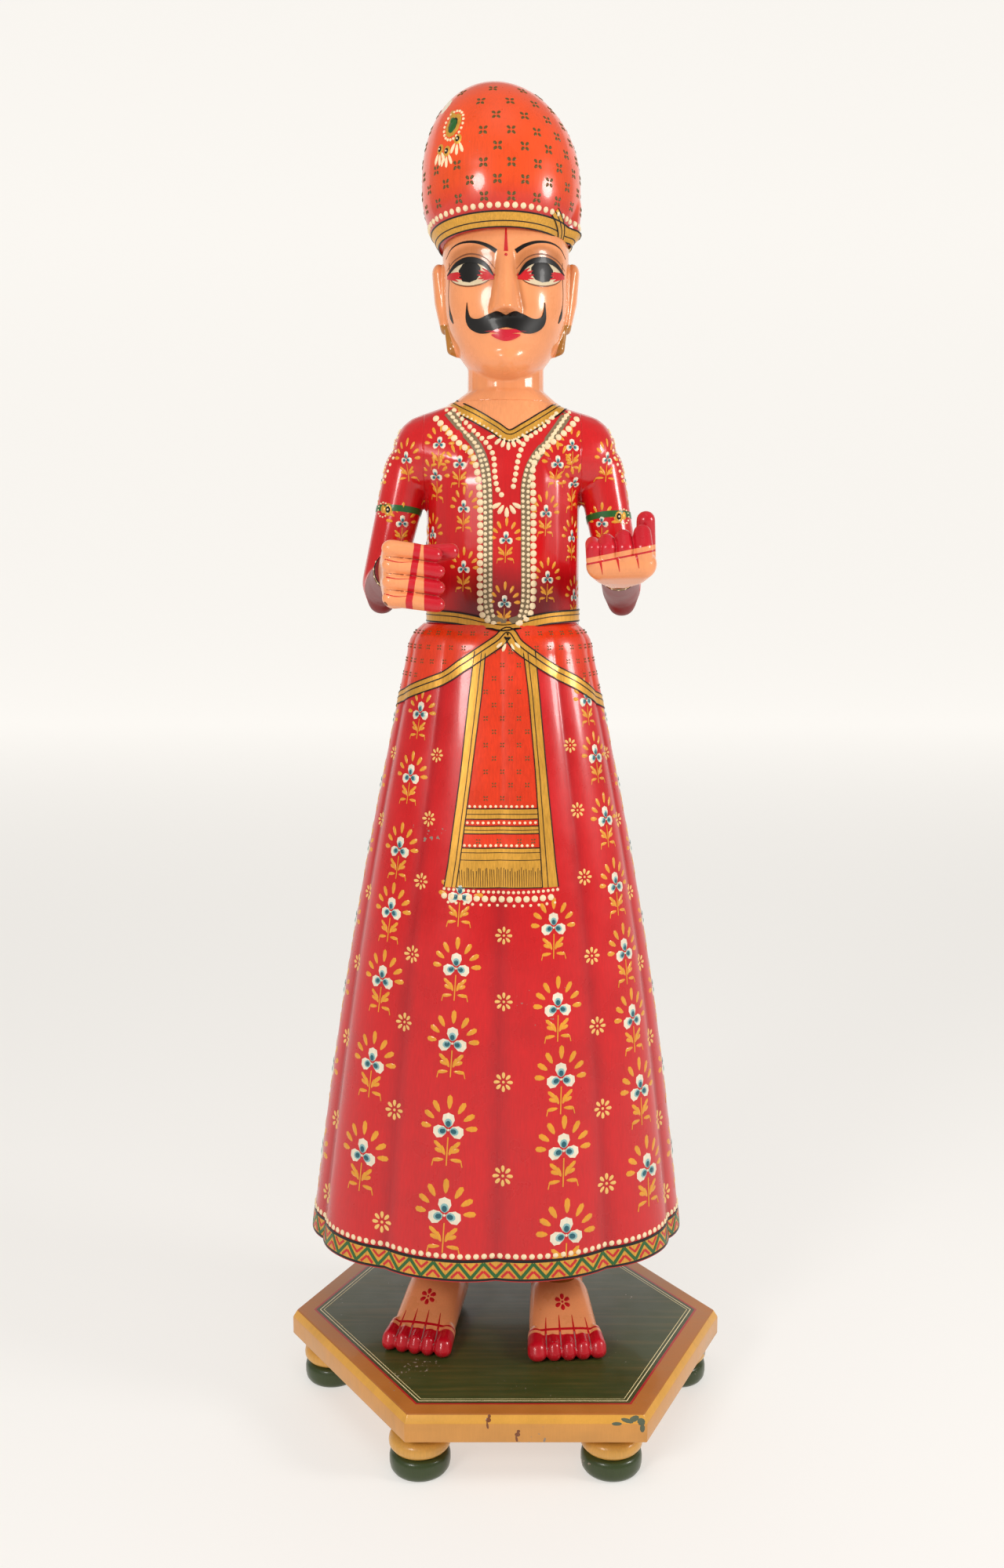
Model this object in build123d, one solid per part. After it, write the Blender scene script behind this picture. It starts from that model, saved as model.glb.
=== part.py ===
from build123d import *
import math
import os

# A standing puppet figure of carved and painted wood on a hexagonal plinth.
# Millimetres.  +Z is up, the figure faces -Y, and +X is the figure's left-hand side.
# The origin is the middle of the plinth, on the ground under the bun feet.

# ---- Plinth board -------------------------------------------------------------
PLINTH_CORNER_RADIUS = 208.0   # centre to corner of the hexagon
PLINTH_SKEW = 0.095            # sideways drift of the hand-cut board for each mm of depth
BOARD_THICKNESS = 24.5
BOARD_BEVEL_IN = 4.0
BOARD_BEVEL_DOWN = 7.3

# ---- Bun feet -----------------------------------------------------------------
BUN_CIRCLE_RADIUS = 169.0      # centre of the plinth to each foot
BUN_SKEW = 0.06                # the ring of feet drifts less than the board
BUN_HEIGHT = 44.3
BUN_DISC_RADIUS = 27.0
BUN_DISC_HEIGHT = 19.0
BUN_DISC_ROUNDING = 5.0
BUN_RING_RADIUS = 27.5
BUN_RING_HEIGHT = 17.0
BUN_COLLAR_RADIUS = 22.5
BUN_TENON_RADIUS = 8.0
BUN_TENON_LENGTH = 15.0

# ---- Skirt --------------------------------------------------------------------
HEM_GAP = 91.2                 # plinth top to the hem
SKIRT_HEIGHT = 578.0
SKIRT_SHIFT = -5.0             # the skirt stands this far to the figure's right
HEM_HALF_WIDTH = 177.0
HEM_HALF_DEPTH = 118.0
HIP_HALF_WIDTH = 84.0
HIP_HALF_DEPTH = 60.0
HIP_DROP = 26.0                # waist joint to the hip shoulder
WAIST_HALF_WIDTH = 70.0
WAIST_HALF_DEPTH = 51.0
SKIRT_BULGE = 8.0
FLUTES = 10
FLUTE_DEPTH_HEM = 7.0
FLUTE_DEPTH_HIP = 2.5
SKIRT_WALL = 24.0
SKIRT_HOLLOW_HEIGHT = 310.0

# ---- Legs ---------------------------------------------------------------------
FOOT_HEEL_RADIUS = 24.5
FOOT_REACH = 98.0              # heel centre to toe tips
FOOT_TOE_HEIGHT = 19.0
FOOT_INSTEP_HEIGHT = 52.0
TOES = 5
ANKLE_RADIUS = 25.0
SHANK_RADIUS = 22.0
ANKLE_HEIGHT = 75.0            # plinth top to where the ankle narrows to the shank
LEG_SOCKET_DEPTH = 60.0
RIGHT_HEEL = (-62.0, 8.0)
RIGHT_FOOT_WIDTH = 62.0
RIGHT_FOOT_SPLAY = 13.0
LEFT_HEEL = (50.0, -1.0)
LEFT_FOOT_WIDTH = 70.0
LEFT_FOOT_SPLAY = 4.0

# ---- Leg screws ---------------------------------------------------------------
SCREW_RADIUS = 2.5
SCREW_HEAD_RADIUS = 5.0
SCREW_HEAD_HEIGHT = 3.5
SCREW_LENGTH = 60.0

# ---- Torso --------------------------------------------------------------------
TORSO_HALF_WIDTH = 66.0
TORSO_HALF_DEPTH = 49.0
CHEST_HEIGHT = 125.0           # waist joint to the armpits
SHOULDER_BLADE_HEIGHT = 172.0  # waist joint to where the shoulders begin to slope in
SHOULDER_BLADE_HALF_WIDTH = 70.0
SHOULDER_BLADE_HALF_DEPTH = 45.0
NECK_JOINT_HEIGHT = 193.0      # waist joint to the neck joint
NECK_RADIUS = 34.0
NECK_FLARE = 8.0               # the torso's neck seat is this much wider than the neck

# ---- Arms ---------------------------------------------------------------------
SHOULDER_HEIGHT = 145.0        # waist joint to the middle of the shoulder
SHOULDER_REACH = 38.5          # seam to the outermost point of the shoulder
SHOULDER_HALF_DEPTH = 30.0
SHOULDER_HALF_HEIGHT = 38.5
UPPER_ARM_RADIUS = 18.0
ELBOW_RADIUS = 19.5
FOREARM_SEAM = 14.0            # elbow centre to the forearm's glue joint
FOREARM_RADIUS = 19.0
WRIST_RADIUS = 17.0
RIGHT_ELBOW_OUT = 45.0         # shoulder seam to elbow centre, sideways
RIGHT_ELBOW_DROP = 117.0
RIGHT_WRIST_IN = 18.0          # elbow centre to wrist centre, towards the middle
RIGHT_WRIST_RISE = 18.0
LEFT_ELBOW_OUT = 38.0
LEFT_ELBOW_DROP = 122.0
LEFT_WRIST_IN = 8.0
LEFT_WRIST_RISE = 25.0
ELBOW_BACK = 5.0
FOREARM_REACH = 84.0           # elbow centre to wrist centre, forward

# ---- Hands --------------------------------------------------------------------
FINGER_RADIUS = 7.8
FINGER_PITCH = 14.8
FINGERS = 4
PALM_THICKNESS = 30.0
HAND_REACH = 52.0              # wrist joint to the front of the fingers
RIGHT_FINGER_LENGTH = 52.0
LEFT_FINGER_LENGTH = 36.0
THUMB_RADIUS = 7.2

# ---- Head and turban ----------------------------------------------------------
HEAD_HALF_WIDTH = 55.0
HEAD_HALF_DEPTH = 60.0
HEAD_HALF_HEIGHT = 80.0
HEAD_CENTRE_RISE = 91.0        # neck joint to the middle of the head
TURBAN_SEAM_RISE = 134.0       # neck joint to the turban's underside
EAR_HALF_HEIGHT = 30.0
NOSE_REACH = 13.0
TURBAN_HALF_WIDTH = 69.0
TURBAN_HALF_DEPTH = 71.0
TURBAN_HALF_HEIGHT = 83.0
TURBAN_HEIGHT = 135.0          # underside to crown
TURBAN_SHIFT = -4.0

# ---- Dowels and their clearances ----------------------------------------------
DOWEL_FIT = 0.15               # radial clearance of every dowel in its bore
BORE_END_GAP = 1.0
WAIST_DOWEL = (14.0, 110.0)    # radius, length
NECK_DOWEL = (12.0, 80.0)
TURBAN_PEG = (9.0, 60.0)
SHOULDER_DOWEL = (7.0, 60.0)
ELBOW_DOWEL = (5.0, 40.0)
WRIST_DOWEL = (5.0, 36.0)

# ---- Levels worked out from the sizes above -----------------------------------
PLINTH_TOP = BUN_HEIGHT + BOARD_THICKNESS
HEM_LEVEL = PLINTH_TOP + HEM_GAP
WAIST_LEVEL = HEM_LEVEL + SKIRT_HEIGHT
HIP_LEVEL = WAIST_LEVEL - HIP_DROP
SHOULDER_LEVEL = WAIST_LEVEL + SHOULDER_HEIGHT
NECK_LEVEL = WAIST_LEVEL + NECK_JOINT_HEIGHT
HEAD_LEVEL = NECK_LEVEL + HEAD_CENTRE_RISE
TURBAN_SEAM = NECK_LEVEL + TURBAN_SEAM_RISE
TURBAN_LEVEL = TURBAN_SEAM + TURBAN_HEIGHT - TURBAN_HALF_HEIGHT
HOLLOW_LEVEL = HEM_LEVEL + SKIRT_HOLLOW_HEIGHT
RIGHT = -1
LEFT = 1


def ellipse_at(half_width, half_depth, level, x=0.0, y=0.0):
    """A flat elliptical section at a height."""
    return Pos(x, y, level) * Ellipse(half_width, half_depth)


def ellipsoid(half_width, half_depth, half_height, centre):
    """A ball stretched to three half sizes."""
    return Pos(*centre) * scale(Sphere(1.0), by=(half_width, half_depth, half_height))


def block(low, high):
    """A box between two corners."""
    size = [h - l for l, h in zip(low, high)]
    middle = [(h + l) / 2 for l, h in zip(low, high)]
    return Pos(*middle) * Box(*size)


def rod(middle, direction, radius, length):
    """A straight round bar centred on a point."""
    return Plane(origin=middle, z_dir=direction) * Cylinder(radius, length)


def capsule(start, end, radius):
    """A bar with two round ends, such as a finger."""
    start, end = Vector(*start), Vector(*end)
    bar = rod((start + end) * 0.5, end - start, radius, (end - start).length)
    return bar + Pos(*start) * Sphere(radius) + Pos(*end) * Sphere(radius)


def dowel(middle, direction, size):
    radius, length = size
    return rod(middle, direction, radius, length)


def dowel_bore(middle, direction, size):
    """The hole for half of a dowel on each side of a glue joint."""
    radius, length = size
    return rod(middle, direction, radius + DOWEL_FIT, length + 2 * BORE_END_GAP)


# ---- Plinth -------------------------------------------------------------------
def skewed(x, y, skew=PLINTH_SKEW):
    """A point of the plinth, drifted sideways as the hand-cut board is."""
    return (x - skew * y, y)


def hexagon_face(corner_radius, level):
    corners = []
    for step in range(6):
        angle = math.radians(60 * step)
        corners.append(skewed(corner_radius * math.cos(angle), corner_radius * math.sin(angle)))
    return Pos(0, 0, level) * Face(Wire.make_polygon([(x, y, 0) for x, y in corners]))


def bun_place(angle):
    x, y = skewed(BUN_CIRCLE_RADIUS * math.cos(math.radians(angle)),
                  BUN_CIRCLE_RADIUS * math.sin(math.radians(angle)), BUN_SKEW)
    return (x, y, 0)


BUN_FEET = {
    "bun_foot_left": bun_place(0),
    "bun_foot_rear_left": bun_place(60),
    "bun_foot_rear_right": bun_place(120),
    "bun_foot_right": bun_place(180),
    "bun_foot_front_right": bun_place(240),
    "bun_foot_front_left": bun_place(300),
}


def make_bun_foot():
    """One turned foot: rounded disc, ring, collar and the tenon above."""
    rounding = BUN_DISC_ROUNDING
    ring_middle = BUN_DISC_HEIGHT + BUN_RING_HEIGHT / 2
    ring_top = BUN_DISC_HEIGHT + BUN_RING_HEIGHT
    ring_foot_radius = BUN_RING_RADIUS - BUN_RING_HEIGHT / 2 + 2
    with BuildPart() as foot:
        with BuildSketch(Plane.XZ):
            with BuildLine():
                base = Line((0, 0), (BUN_DISC_RADIUS - rounding, 0))
                edge = ThreePointArc(base @ 1,
                                     (BUN_DISC_RADIUS - rounding * 0.29, rounding * 0.71),
                                     (BUN_DISC_RADIUS, rounding * 2))
                disc = Line(edge @ 1, (BUN_DISC_RADIUS - 1, BUN_DISC_HEIGHT))
                seat = Line(disc @ 1, (ring_foot_radius, BUN_DISC_HEIGHT))
                ring = ThreePointArc(seat @ 1, (BUN_RING_RADIUS, ring_middle),
                                     (ring_foot_radius, ring_top))
                step_in = Line(ring @ 1, (BUN_COLLAR_RADIUS - 3, ring_top))
                collar = Line(step_in @ 1, (BUN_COLLAR_RADIUS, BUN_HEIGHT))
                shoulder = Line(collar @ 1, (BUN_TENON_RADIUS, BUN_HEIGHT))
                tenon = Line(shoulder @ 1, (BUN_TENON_RADIUS, BUN_HEIGHT + BUN_TENON_LENGTH))
                top = Line(tenon @ 1, (0, BUN_HEIGHT + BUN_TENON_LENGTH))
                Line(top @ 1, (0, 0))
            make_face()
        revolve(axis=Axis.Z)
    return foot.part


def make_plinth_board():
    """The bevelled board, with blind bores for the feet and clearance holes for the screws."""
    bevel_level = PLINTH_TOP - BOARD_BEVEL_DOWN
    board = extrude(hexagon_face(PLINTH_CORNER_RADIUS, BUN_HEIGHT), bevel_level - BUN_HEIGHT, dir=(0, 0, 1))
    bevel = loft([hexagon_face(PLINTH_CORNER_RADIUS, bevel_level),
                  hexagon_face(PLINTH_CORNER_RADIUS - BOARD_BEVEL_IN, PLINTH_TOP)])
    board = board + bevel
    for place in BUN_FEET.values():
        bore_length = BUN_TENON_LENGTH + BORE_END_GAP
        board -= Pos(place[0], place[1], BUN_HEIGHT + bore_length / 2) * Cylinder(
            BUN_TENON_RADIUS + DOWEL_FIT, bore_length)
    for heel in (RIGHT_HEEL, LEFT_HEEL):
        board -= Pos(heel[0], heel[1], PLINTH_TOP - BOARD_THICKNESS / 2) * Cylinder(
            SCREW_RADIUS + DOWEL_FIT, BOARD_THICKNESS)
        board -= Pos(heel[0], heel[1], BUN_HEIGHT + SCREW_HEAD_HEIGHT / 2) * Cylinder(
            SCREW_HEAD_RADIUS + DOWEL_FIT, SCREW_HEAD_HEIGHT)
    return board


def screw_top():
    return BUN_HEIGHT + SCREW_LENGTH


def make_leg_screw(heel):
    """A long screw up through the board into the heel, its head sunk in the underside."""
    head = Pos(heel[0], heel[1], BUN_HEIGHT + SCREW_HEAD_HEIGHT / 2) * Cylinder(
        SCREW_HEAD_RADIUS, SCREW_HEAD_HEIGHT)
    shank_length = SCREW_LENGTH - SCREW_HEAD_HEIGHT
    shank = Pos(heel[0], heel[1], screw_top() - shank_length / 2) * Cylinder(SCREW_RADIUS, shank_length)
    return head + shank


# ---- Legs ---------------------------------------------------------------------
def foot_outline(width):
    """Plan of the foot, heel centre at the origin, toes towards -Y, one arc for each toe."""
    half_toe_line = width / 2
    toe_root = FOOT_REACH - width / TOES / 2
    edges = []
    right_start = (half_toe_line, -toe_root)
    left_start = (-half_toe_line, -toe_root)
    edges.append(ThreePointArc((-FOOT_HEEL_RADIUS, 0), (0, FOOT_HEEL_RADIUS), (FOOT_HEEL_RADIUS, 0)))
    edges.append(Line((FOOT_HEEL_RADIUS, 0), right_start))
    toe_width = width / TOES
    for toe in range(TOES):
        outer = half_toe_line - toe * toe_width
        edges.append(ThreePointArc((outer, -toe_root), (outer - toe_width / 2, -FOOT_REACH),
                                   (outer - toe_width, -toe_root)))
    edges.append(Line(left_start, (-FOOT_HEEL_RADIUS, 0)))
    return Face(Wire(edges))


def foot_side(width):
    """Side view of the foot, from the heel over the instep down to the toes."""
    heel_back = FOOT_HEEL_RADIUS + 1
    with BuildSketch(Plane.YZ) as side:
        with BuildLine():
            sole = Line((heel_back, 0), (-FOOT_REACH - 1, 0))
            toe = Line(sole @ 1, (-FOOT_REACH - 1, FOOT_TOE_HEIGHT * 0.6))
            toe_round = Line(toe @ 1, (-FOOT_REACH + 8, FOOT_TOE_HEIGHT))
            instep = ThreePointArc(toe_round @ 1,
                                   (-FOOT_REACH * 0.55, FOOT_TOE_HEIGHT * 0.35 + FOOT_INSTEP_HEIGHT * 0.45),
                                   (-FOOT_HEEL_RADIUS, FOOT_INSTEP_HEIGHT))
            ankle = Line(instep @ 1, (heel_back, FOOT_INSTEP_HEIGHT))
            Line(ankle @ 1, sole @ 0)
        make_face()
    return extrude(side.sketch, width, both=True)


def make_leg(heel, width, splay):
    """Carved foot, ankle and shank in one piece, its top end glued into the skirt."""
    foot = extrude(foot_outline(width), FOOT_INSTEP_HEIGHT, dir=(0, 0, 1)) & foot_side(width)
    ankle = loft([ellipse_at(ANKLE_RADIUS, ANKLE_RADIUS, FOOT_INSTEP_HEIGHT - 12),
                  ellipse_at(SHANK_RADIUS, SHANK_RADIUS, ANKLE_HEIGHT)])
    shank_top = HOLLOW_LEVEL + LEG_SOCKET_DEPTH - BORE_END_GAP - PLINTH_TOP
    shank = Pos(0, 0, (ANKLE_HEIGHT + shank_top) / 2) * Cylinder(SHANK_RADIUS, shank_top - ANKLE_HEIGHT)
    leg = Pos(heel[0], heel[1], PLINTH_TOP) * Rot(0, 0, splay) * (foot + ankle + shank)
    pilot_depth = screw_top() - PLINTH_TOP + BORE_END_GAP
    leg -= Pos(heel[0], heel[1], PLINTH_TOP + pilot_depth / 2) * Cylinder(SCREW_RADIUS, pilot_depth)
    return leg


def leg_socket(heel):
    """The bore in the skirt that takes the top of a shank."""
    return Pos(heel[0], heel[1], HOLLOW_LEVEL + LEG_SOCKET_DEPTH / 2) * Cylinder(
        SHANK_RADIUS + DOWEL_FIT, LEG_SOCKET_DEPTH)


# ---- Skirt --------------------------------------------------------------------
def skirt_half_sizes(share):
    """Half width and half depth at a share of the way from the hip down to the hem."""
    bulge = SKIRT_BULGE * math.sin(math.pi * share)
    half_width = HIP_HALF_WIDTH + (HEM_HALF_WIDTH - HIP_HALF_WIDTH) * share + bulge
    half_depth = HIP_HALF_DEPTH + (HEM_HALF_DEPTH - HIP_HALF_DEPTH) * share + bulge
    return half_width, half_depth


def skirt_level(share):
    return HIP_LEVEL + (HEM_LEVEL - HIP_LEVEL) * share


def fluted_face(half_width, half_depth, flute_depth, level):
    """A section with convex flutes that meet in sharp grooves."""
    def point(turns, inset):
        angle = math.radians(-90 + 360 * turns / FLUTES)
        return (SKIRT_SHIFT + (half_width - inset) * math.cos(angle),
                (half_depth - inset) * math.sin(angle), level)

    arcs = []
    for flute in range(FLUTES):
        arcs.append(ThreePointArc(point(flute, flute_depth), point(flute + 0.5, 0),
                                  point(flute + 1, flute_depth)))
    return Face(Wire(arcs))


def make_skirt():
    """The fluted bell, hollow from below, with sockets for the legs and the waist dowel."""
    sections = []
    for share in (0, 0.25, 0.5, 0.75, 1):
        half_width, half_depth = skirt_half_sizes(share)
        flute_depth = FLUTE_DEPTH_HIP + (FLUTE_DEPTH_HEM - FLUTE_DEPTH_HIP) * share
        sections.append(fluted_face(half_width, half_depth, flute_depth, skirt_level(share)))
    bell = loft(sections)
    hip_half = HIP_DROP * 0.5
    hip = loft([fluted_face(HIP_HALF_WIDTH, HIP_HALF_DEPTH, FLUTE_DEPTH_HIP, HIP_LEVEL),
                fluted_face(HIP_HALF_WIDTH - 5, HIP_HALF_DEPTH - 4, FLUTE_DEPTH_HIP / 2,
                            HIP_LEVEL + hip_half),
                fluted_face(WAIST_HALF_WIDTH, WAIST_HALF_DEPTH, FLUTE_DEPTH_HIP / 4, WAIST_LEVEL)])
    skirt = bell + hip
    hollow_sections = []
    hollow_share = (HIP_LEVEL - HOLLOW_LEVEL) / (HIP_LEVEL - HEM_LEVEL)
    for share in (hollow_share, (1 + hollow_share) / 2, 1):
        half_width, half_depth = skirt_half_sizes(share)
        hollow_sections.append(ellipse_at(half_width - SKIRT_WALL, half_depth - SKIRT_WALL,
                                          skirt_level(share), SKIRT_SHIFT))
    skirt -= loft(hollow_sections)
    for heel in (RIGHT_HEEL, LEFT_HEEL):
        skirt -= leg_socket(heel)
    return skirt - dowel_bore((0, 0, WAIST_LEVEL), (0, 0, 1), WAIST_DOWEL)


# ---- Torso --------------------------------------------------------------------
def shoulder_centre(side):
    return (side * TORSO_HALF_WIDTH, 0, SHOULDER_LEVEL)


def make_torso():
    """Waist to neck joint, with flat seats for the shoulders."""
    chest_level = WAIST_LEVEL + CHEST_HEIGHT
    trunk = loft([ellipse_at(TORSO_HALF_WIDTH, TORSO_HALF_DEPTH, WAIST_LEVEL),
                  ellipse_at(TORSO_HALF_WIDTH + 3, TORSO_HALF_DEPTH, chest_level)])
    blade_level = WAIST_LEVEL + SHOULDER_BLADE_HEIGHT
    chest = loft([ellipse_at(TORSO_HALF_WIDTH + 3, TORSO_HALF_DEPTH, chest_level),
                  ellipse_at(SHOULDER_BLADE_HALF_WIDTH, SHOULDER_BLADE_HALF_DEPTH, blade_level)])
    shoulders = loft([ellipse_at(SHOULDER_BLADE_HALF_WIDTH, SHOULDER_BLADE_HALF_DEPTH, blade_level),
                      ellipse_at(NECK_RADIUS + NECK_FLARE, NECK_RADIUS + NECK_FLARE / 2, NECK_LEVEL)])
    torso = trunk + chest + shoulders
    reach = 2 * TORSO_HALF_WIDTH
    trim = block((-TORSO_HALF_WIDTH, -reach, WAIST_LEVEL), (TORSO_HALF_WIDTH, reach, NECK_LEVEL))
    torso = torso & trim
    torso -= dowel_bore((0, 0, WAIST_LEVEL), (0, 0, 1), WAIST_DOWEL)
    torso -= dowel_bore((0, 0, NECK_LEVEL), (0, 0, 1), NECK_DOWEL)
    for side in (RIGHT, LEFT):
        torso -= dowel_bore(shoulder_centre(side), (1, 0, 0), SHOULDER_DOWEL)
    return torso


# ---- Arms ---------------------------------------------------------------------
def elbow_centre(side):
    out, drop = {RIGHT: (RIGHT_ELBOW_OUT, RIGHT_ELBOW_DROP), LEFT: (LEFT_ELBOW_OUT, LEFT_ELBOW_DROP)}[side]
    return Vector(side * (TORSO_HALF_WIDTH + out), ELBOW_BACK, SHOULDER_LEVEL - drop)


def wrist_centre(side):
    inward, rise = {RIGHT: (RIGHT_WRIST_IN, RIGHT_WRIST_RISE), LEFT: (LEFT_WRIST_IN, LEFT_WRIST_RISE)}[side]
    return elbow_centre(side) + Vector(-side * inward, -FOREARM_REACH, rise)


def forearm_direction(side):
    return (wrist_centre(side) - elbow_centre(side)).normalized()


def forearm_joint(side):
    """Where the upper arm's stub is glued to the forearm."""
    return elbow_centre(side) + forearm_direction(side) * FOREARM_SEAM


def make_upper_arm(side):
    """Shoulder, upper arm and elbow, with a short stub towards the forearm."""
    shoulder = ellipsoid(SHOULDER_REACH, SHOULDER_HALF_DEPTH, SHOULDER_HALF_HEIGHT, shoulder_centre(side))
    seat = side * TORSO_HALF_WIDTH
    keep = block((min(seat, side * 400), -100, 0), (max(seat, side * 400), 100, 2 * SHOULDER_LEVEL))
    elbow = elbow_centre(side)
    arm_top = Vector(side * (TORSO_HALF_WIDTH + SHOULDER_REACH - UPPER_ARM_RADIUS - 1), 0, SHOULDER_LEVEL)
    upper = capsule(arm_top, elbow, UPPER_ARM_RADIUS)
    stub = rod(elbow + forearm_direction(side) * (FOREARM_SEAM / 2), forearm_direction(side),
               FOREARM_RADIUS, FOREARM_SEAM)
    arm = (shoulder & keep) + upper + Pos(*elbow) * Sphere(ELBOW_RADIUS) + stub
    ahead = rod(forearm_joint(side) + forearm_direction(side) * ELBOW_RADIUS, forearm_direction(side),
                2 * ELBOW_RADIUS, 2 * ELBOW_RADIUS)
    arm -= ahead
    arm -= dowel_bore(shoulder_centre(side), (1, 0, 0), SHOULDER_DOWEL)
    return arm - dowel_bore(forearm_joint(side), forearm_direction(side), ELBOW_DOWEL)


def make_forearm(side):
    """The tapered forearm between its two glue joints."""
    length = (wrist_centre(side) - forearm_joint(side)).length
    middle = (wrist_centre(side) + forearm_joint(side)) * 0.5
    forearm = Plane(origin=middle, z_dir=forearm_direction(side)) * Cone(FOREARM_RADIUS, WRIST_RADIUS, length)
    forearm -= dowel_bore(forearm_joint(side), forearm_direction(side), ELBOW_DOWEL)
    return forearm - dowel_bore(wrist_centre(side), forearm_direction(side), WRIST_DOWEL)


# ---- Hands --------------------------------------------------------------------
def beyond_wrist(side):
    """All the space in front of the wrist joint."""
    half = 200.0
    return rod(wrist_centre(side) + forearm_direction(side) * half, forearm_direction(side), half, 2 * half)


def make_right_hand():
    """A loose fist: four stacked fingers across the front, pointing to the middle, thumb above."""
    wrist = wrist_centre(RIGHT)
    knuckle_x = wrist.X - FINGER_RADIUS / 2 + 2
    finger_y = wrist.Y - HAND_REACH + FINGER_RADIUS
    palm = capsule((wrist.X, wrist.Y + 10, wrist.Z), (wrist.X, finger_y, wrist.Z - 4), WRIST_RADIUS)
    low = wrist.Z - 5 - FINGER_PITCH * (FINGERS - 1) / 2
    palm += block((knuckle_x - FINGER_RADIUS, finger_y, low - 4),
                  (knuckle_x + PALM_THICKNESS / 2, wrist.Y - 8, low + FINGER_PITCH * (FINGERS - 1) + 4))
    hand = palm
    for finger in range(FINGERS):
        level = low + finger * FINGER_PITCH
        hand += capsule((knuckle_x, finger_y, level),
                        (knuckle_x + RIGHT_FINGER_LENGTH - 2 * FINGER_RADIUS, finger_y, level), FINGER_RADIUS)
    thumb_level = low + FINGER_PITCH * (FINGERS - 1)
    hand += capsule((wrist.X + 4, wrist.Y - 22, thumb_level - 4),
                    (wrist.X + RIGHT_FINGER_LENGTH - 12, wrist.Y - 26, thumb_level + 2), THUMB_RADIUS)
    hand = hand & beyond_wrist(RIGHT)
    return hand - dowel_bore(wrist, forearm_direction(RIGHT), WRIST_DOWEL)


def make_left_hand():
    """An open palm turned up, four fingers and the thumb standing at its front and side."""
    wrist = wrist_centre(LEFT)
    finger_y = wrist.Y - HAND_REACH + FINGER_RADIUS
    half_row = FINGER_PITCH * (FINGERS - 1) / 2
    palm_low = wrist.Z - WRIST_RADIUS + 2
    hand = capsule((wrist.X, wrist.Y + 10, wrist.Z), (wrist.X, wrist.Y - 2, wrist.Z - 2), WRIST_RADIUS - 1)
    hand += block((wrist.X - half_row - 4, finger_y, palm_low),
                  (wrist.X + half_row + 4, wrist.Y - 12, palm_low + PALM_THICKNESS * 0.6))
    for finger in range(FINGERS):
        x = wrist.X - half_row + finger * FINGER_PITCH
        foot = palm_low + FINGER_RADIUS + 2
        hand += capsule((x, finger_y, foot), (x, finger_y, foot + LEFT_FINGER_LENGTH - FINGER_RADIUS),
                        FINGER_RADIUS)
        hand += capsule((x, finger_y, foot), (x, wrist.Y - 20, foot), FINGER_RADIUS)
    thumb_x = wrist.X + half_row + 2
    hand += capsule((thumb_x, wrist.Y - 18, palm_low + 12), (thumb_x, wrist.Y - 24, palm_low + 56), THUMB_RADIUS)
    hand = hand & beyond_wrist(LEFT)
    return hand - dowel_bore(wrist, forearm_direction(LEFT), WRIST_DOWEL)


# ---- Head and turban ----------------------------------------------------------
def make_head():
    """Head, ears, nose and neck from one block, cut flat under the turban and at the neck joint."""
    head = ellipsoid(HEAD_HALF_WIDTH, HEAD_HALF_DEPTH, HEAD_HALF_HEIGHT, (0, 0, HEAD_LEVEL))
    neck_height = HEAD_LEVEL - NECK_LEVEL
    head += Pos(0, 0, NECK_LEVEL + neck_height / 2) * Cylinder(NECK_RADIUS, neck_height)
    for side in (RIGHT, LEFT):
        head += ellipsoid(9, 13, EAR_HALF_HEIGHT, (side * (HEAD_HALF_WIDTH + 1), 6, HEAD_LEVEL))
    head += ellipsoid(9, NOSE_REACH, 26, (0, -HEAD_HALF_DEPTH, HEAD_LEVEL - 4))
    reach = 200.0
    head = head & block((-reach, -reach, NECK_LEVEL), (reach, reach, TURBAN_SEAM))
    head -= dowel_bore((0, 0, NECK_LEVEL), (0, 0, 1), NECK_DOWEL)
    return head - dowel_bore((0, 0, TURBAN_SEAM), (0, 0, 1), TURBAN_PEG)


def make_turban():
    """The egg-shaped turban with its rolled tail behind the left ear, seated flat on the head."""
    turban = ellipsoid(TURBAN_HALF_WIDTH, TURBAN_HALF_DEPTH, TURBAN_HALF_HEIGHT,
                       (TURBAN_SHIFT, 3, TURBAN_LEVEL))
    turban += ellipsoid(22, 34, 42, (TURBAN_HALF_WIDTH - 26, 28, TURBAN_SEAM + 34))
    reach = 200.0
    turban = turban & block((-reach, -reach, TURBAN_SEAM), (reach, reach, TURBAN_SEAM + reach))
    return turban - dowel_bore((0, 0, TURBAN_SEAM), (0, 0, 1), TURBAN_PEG)


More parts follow.
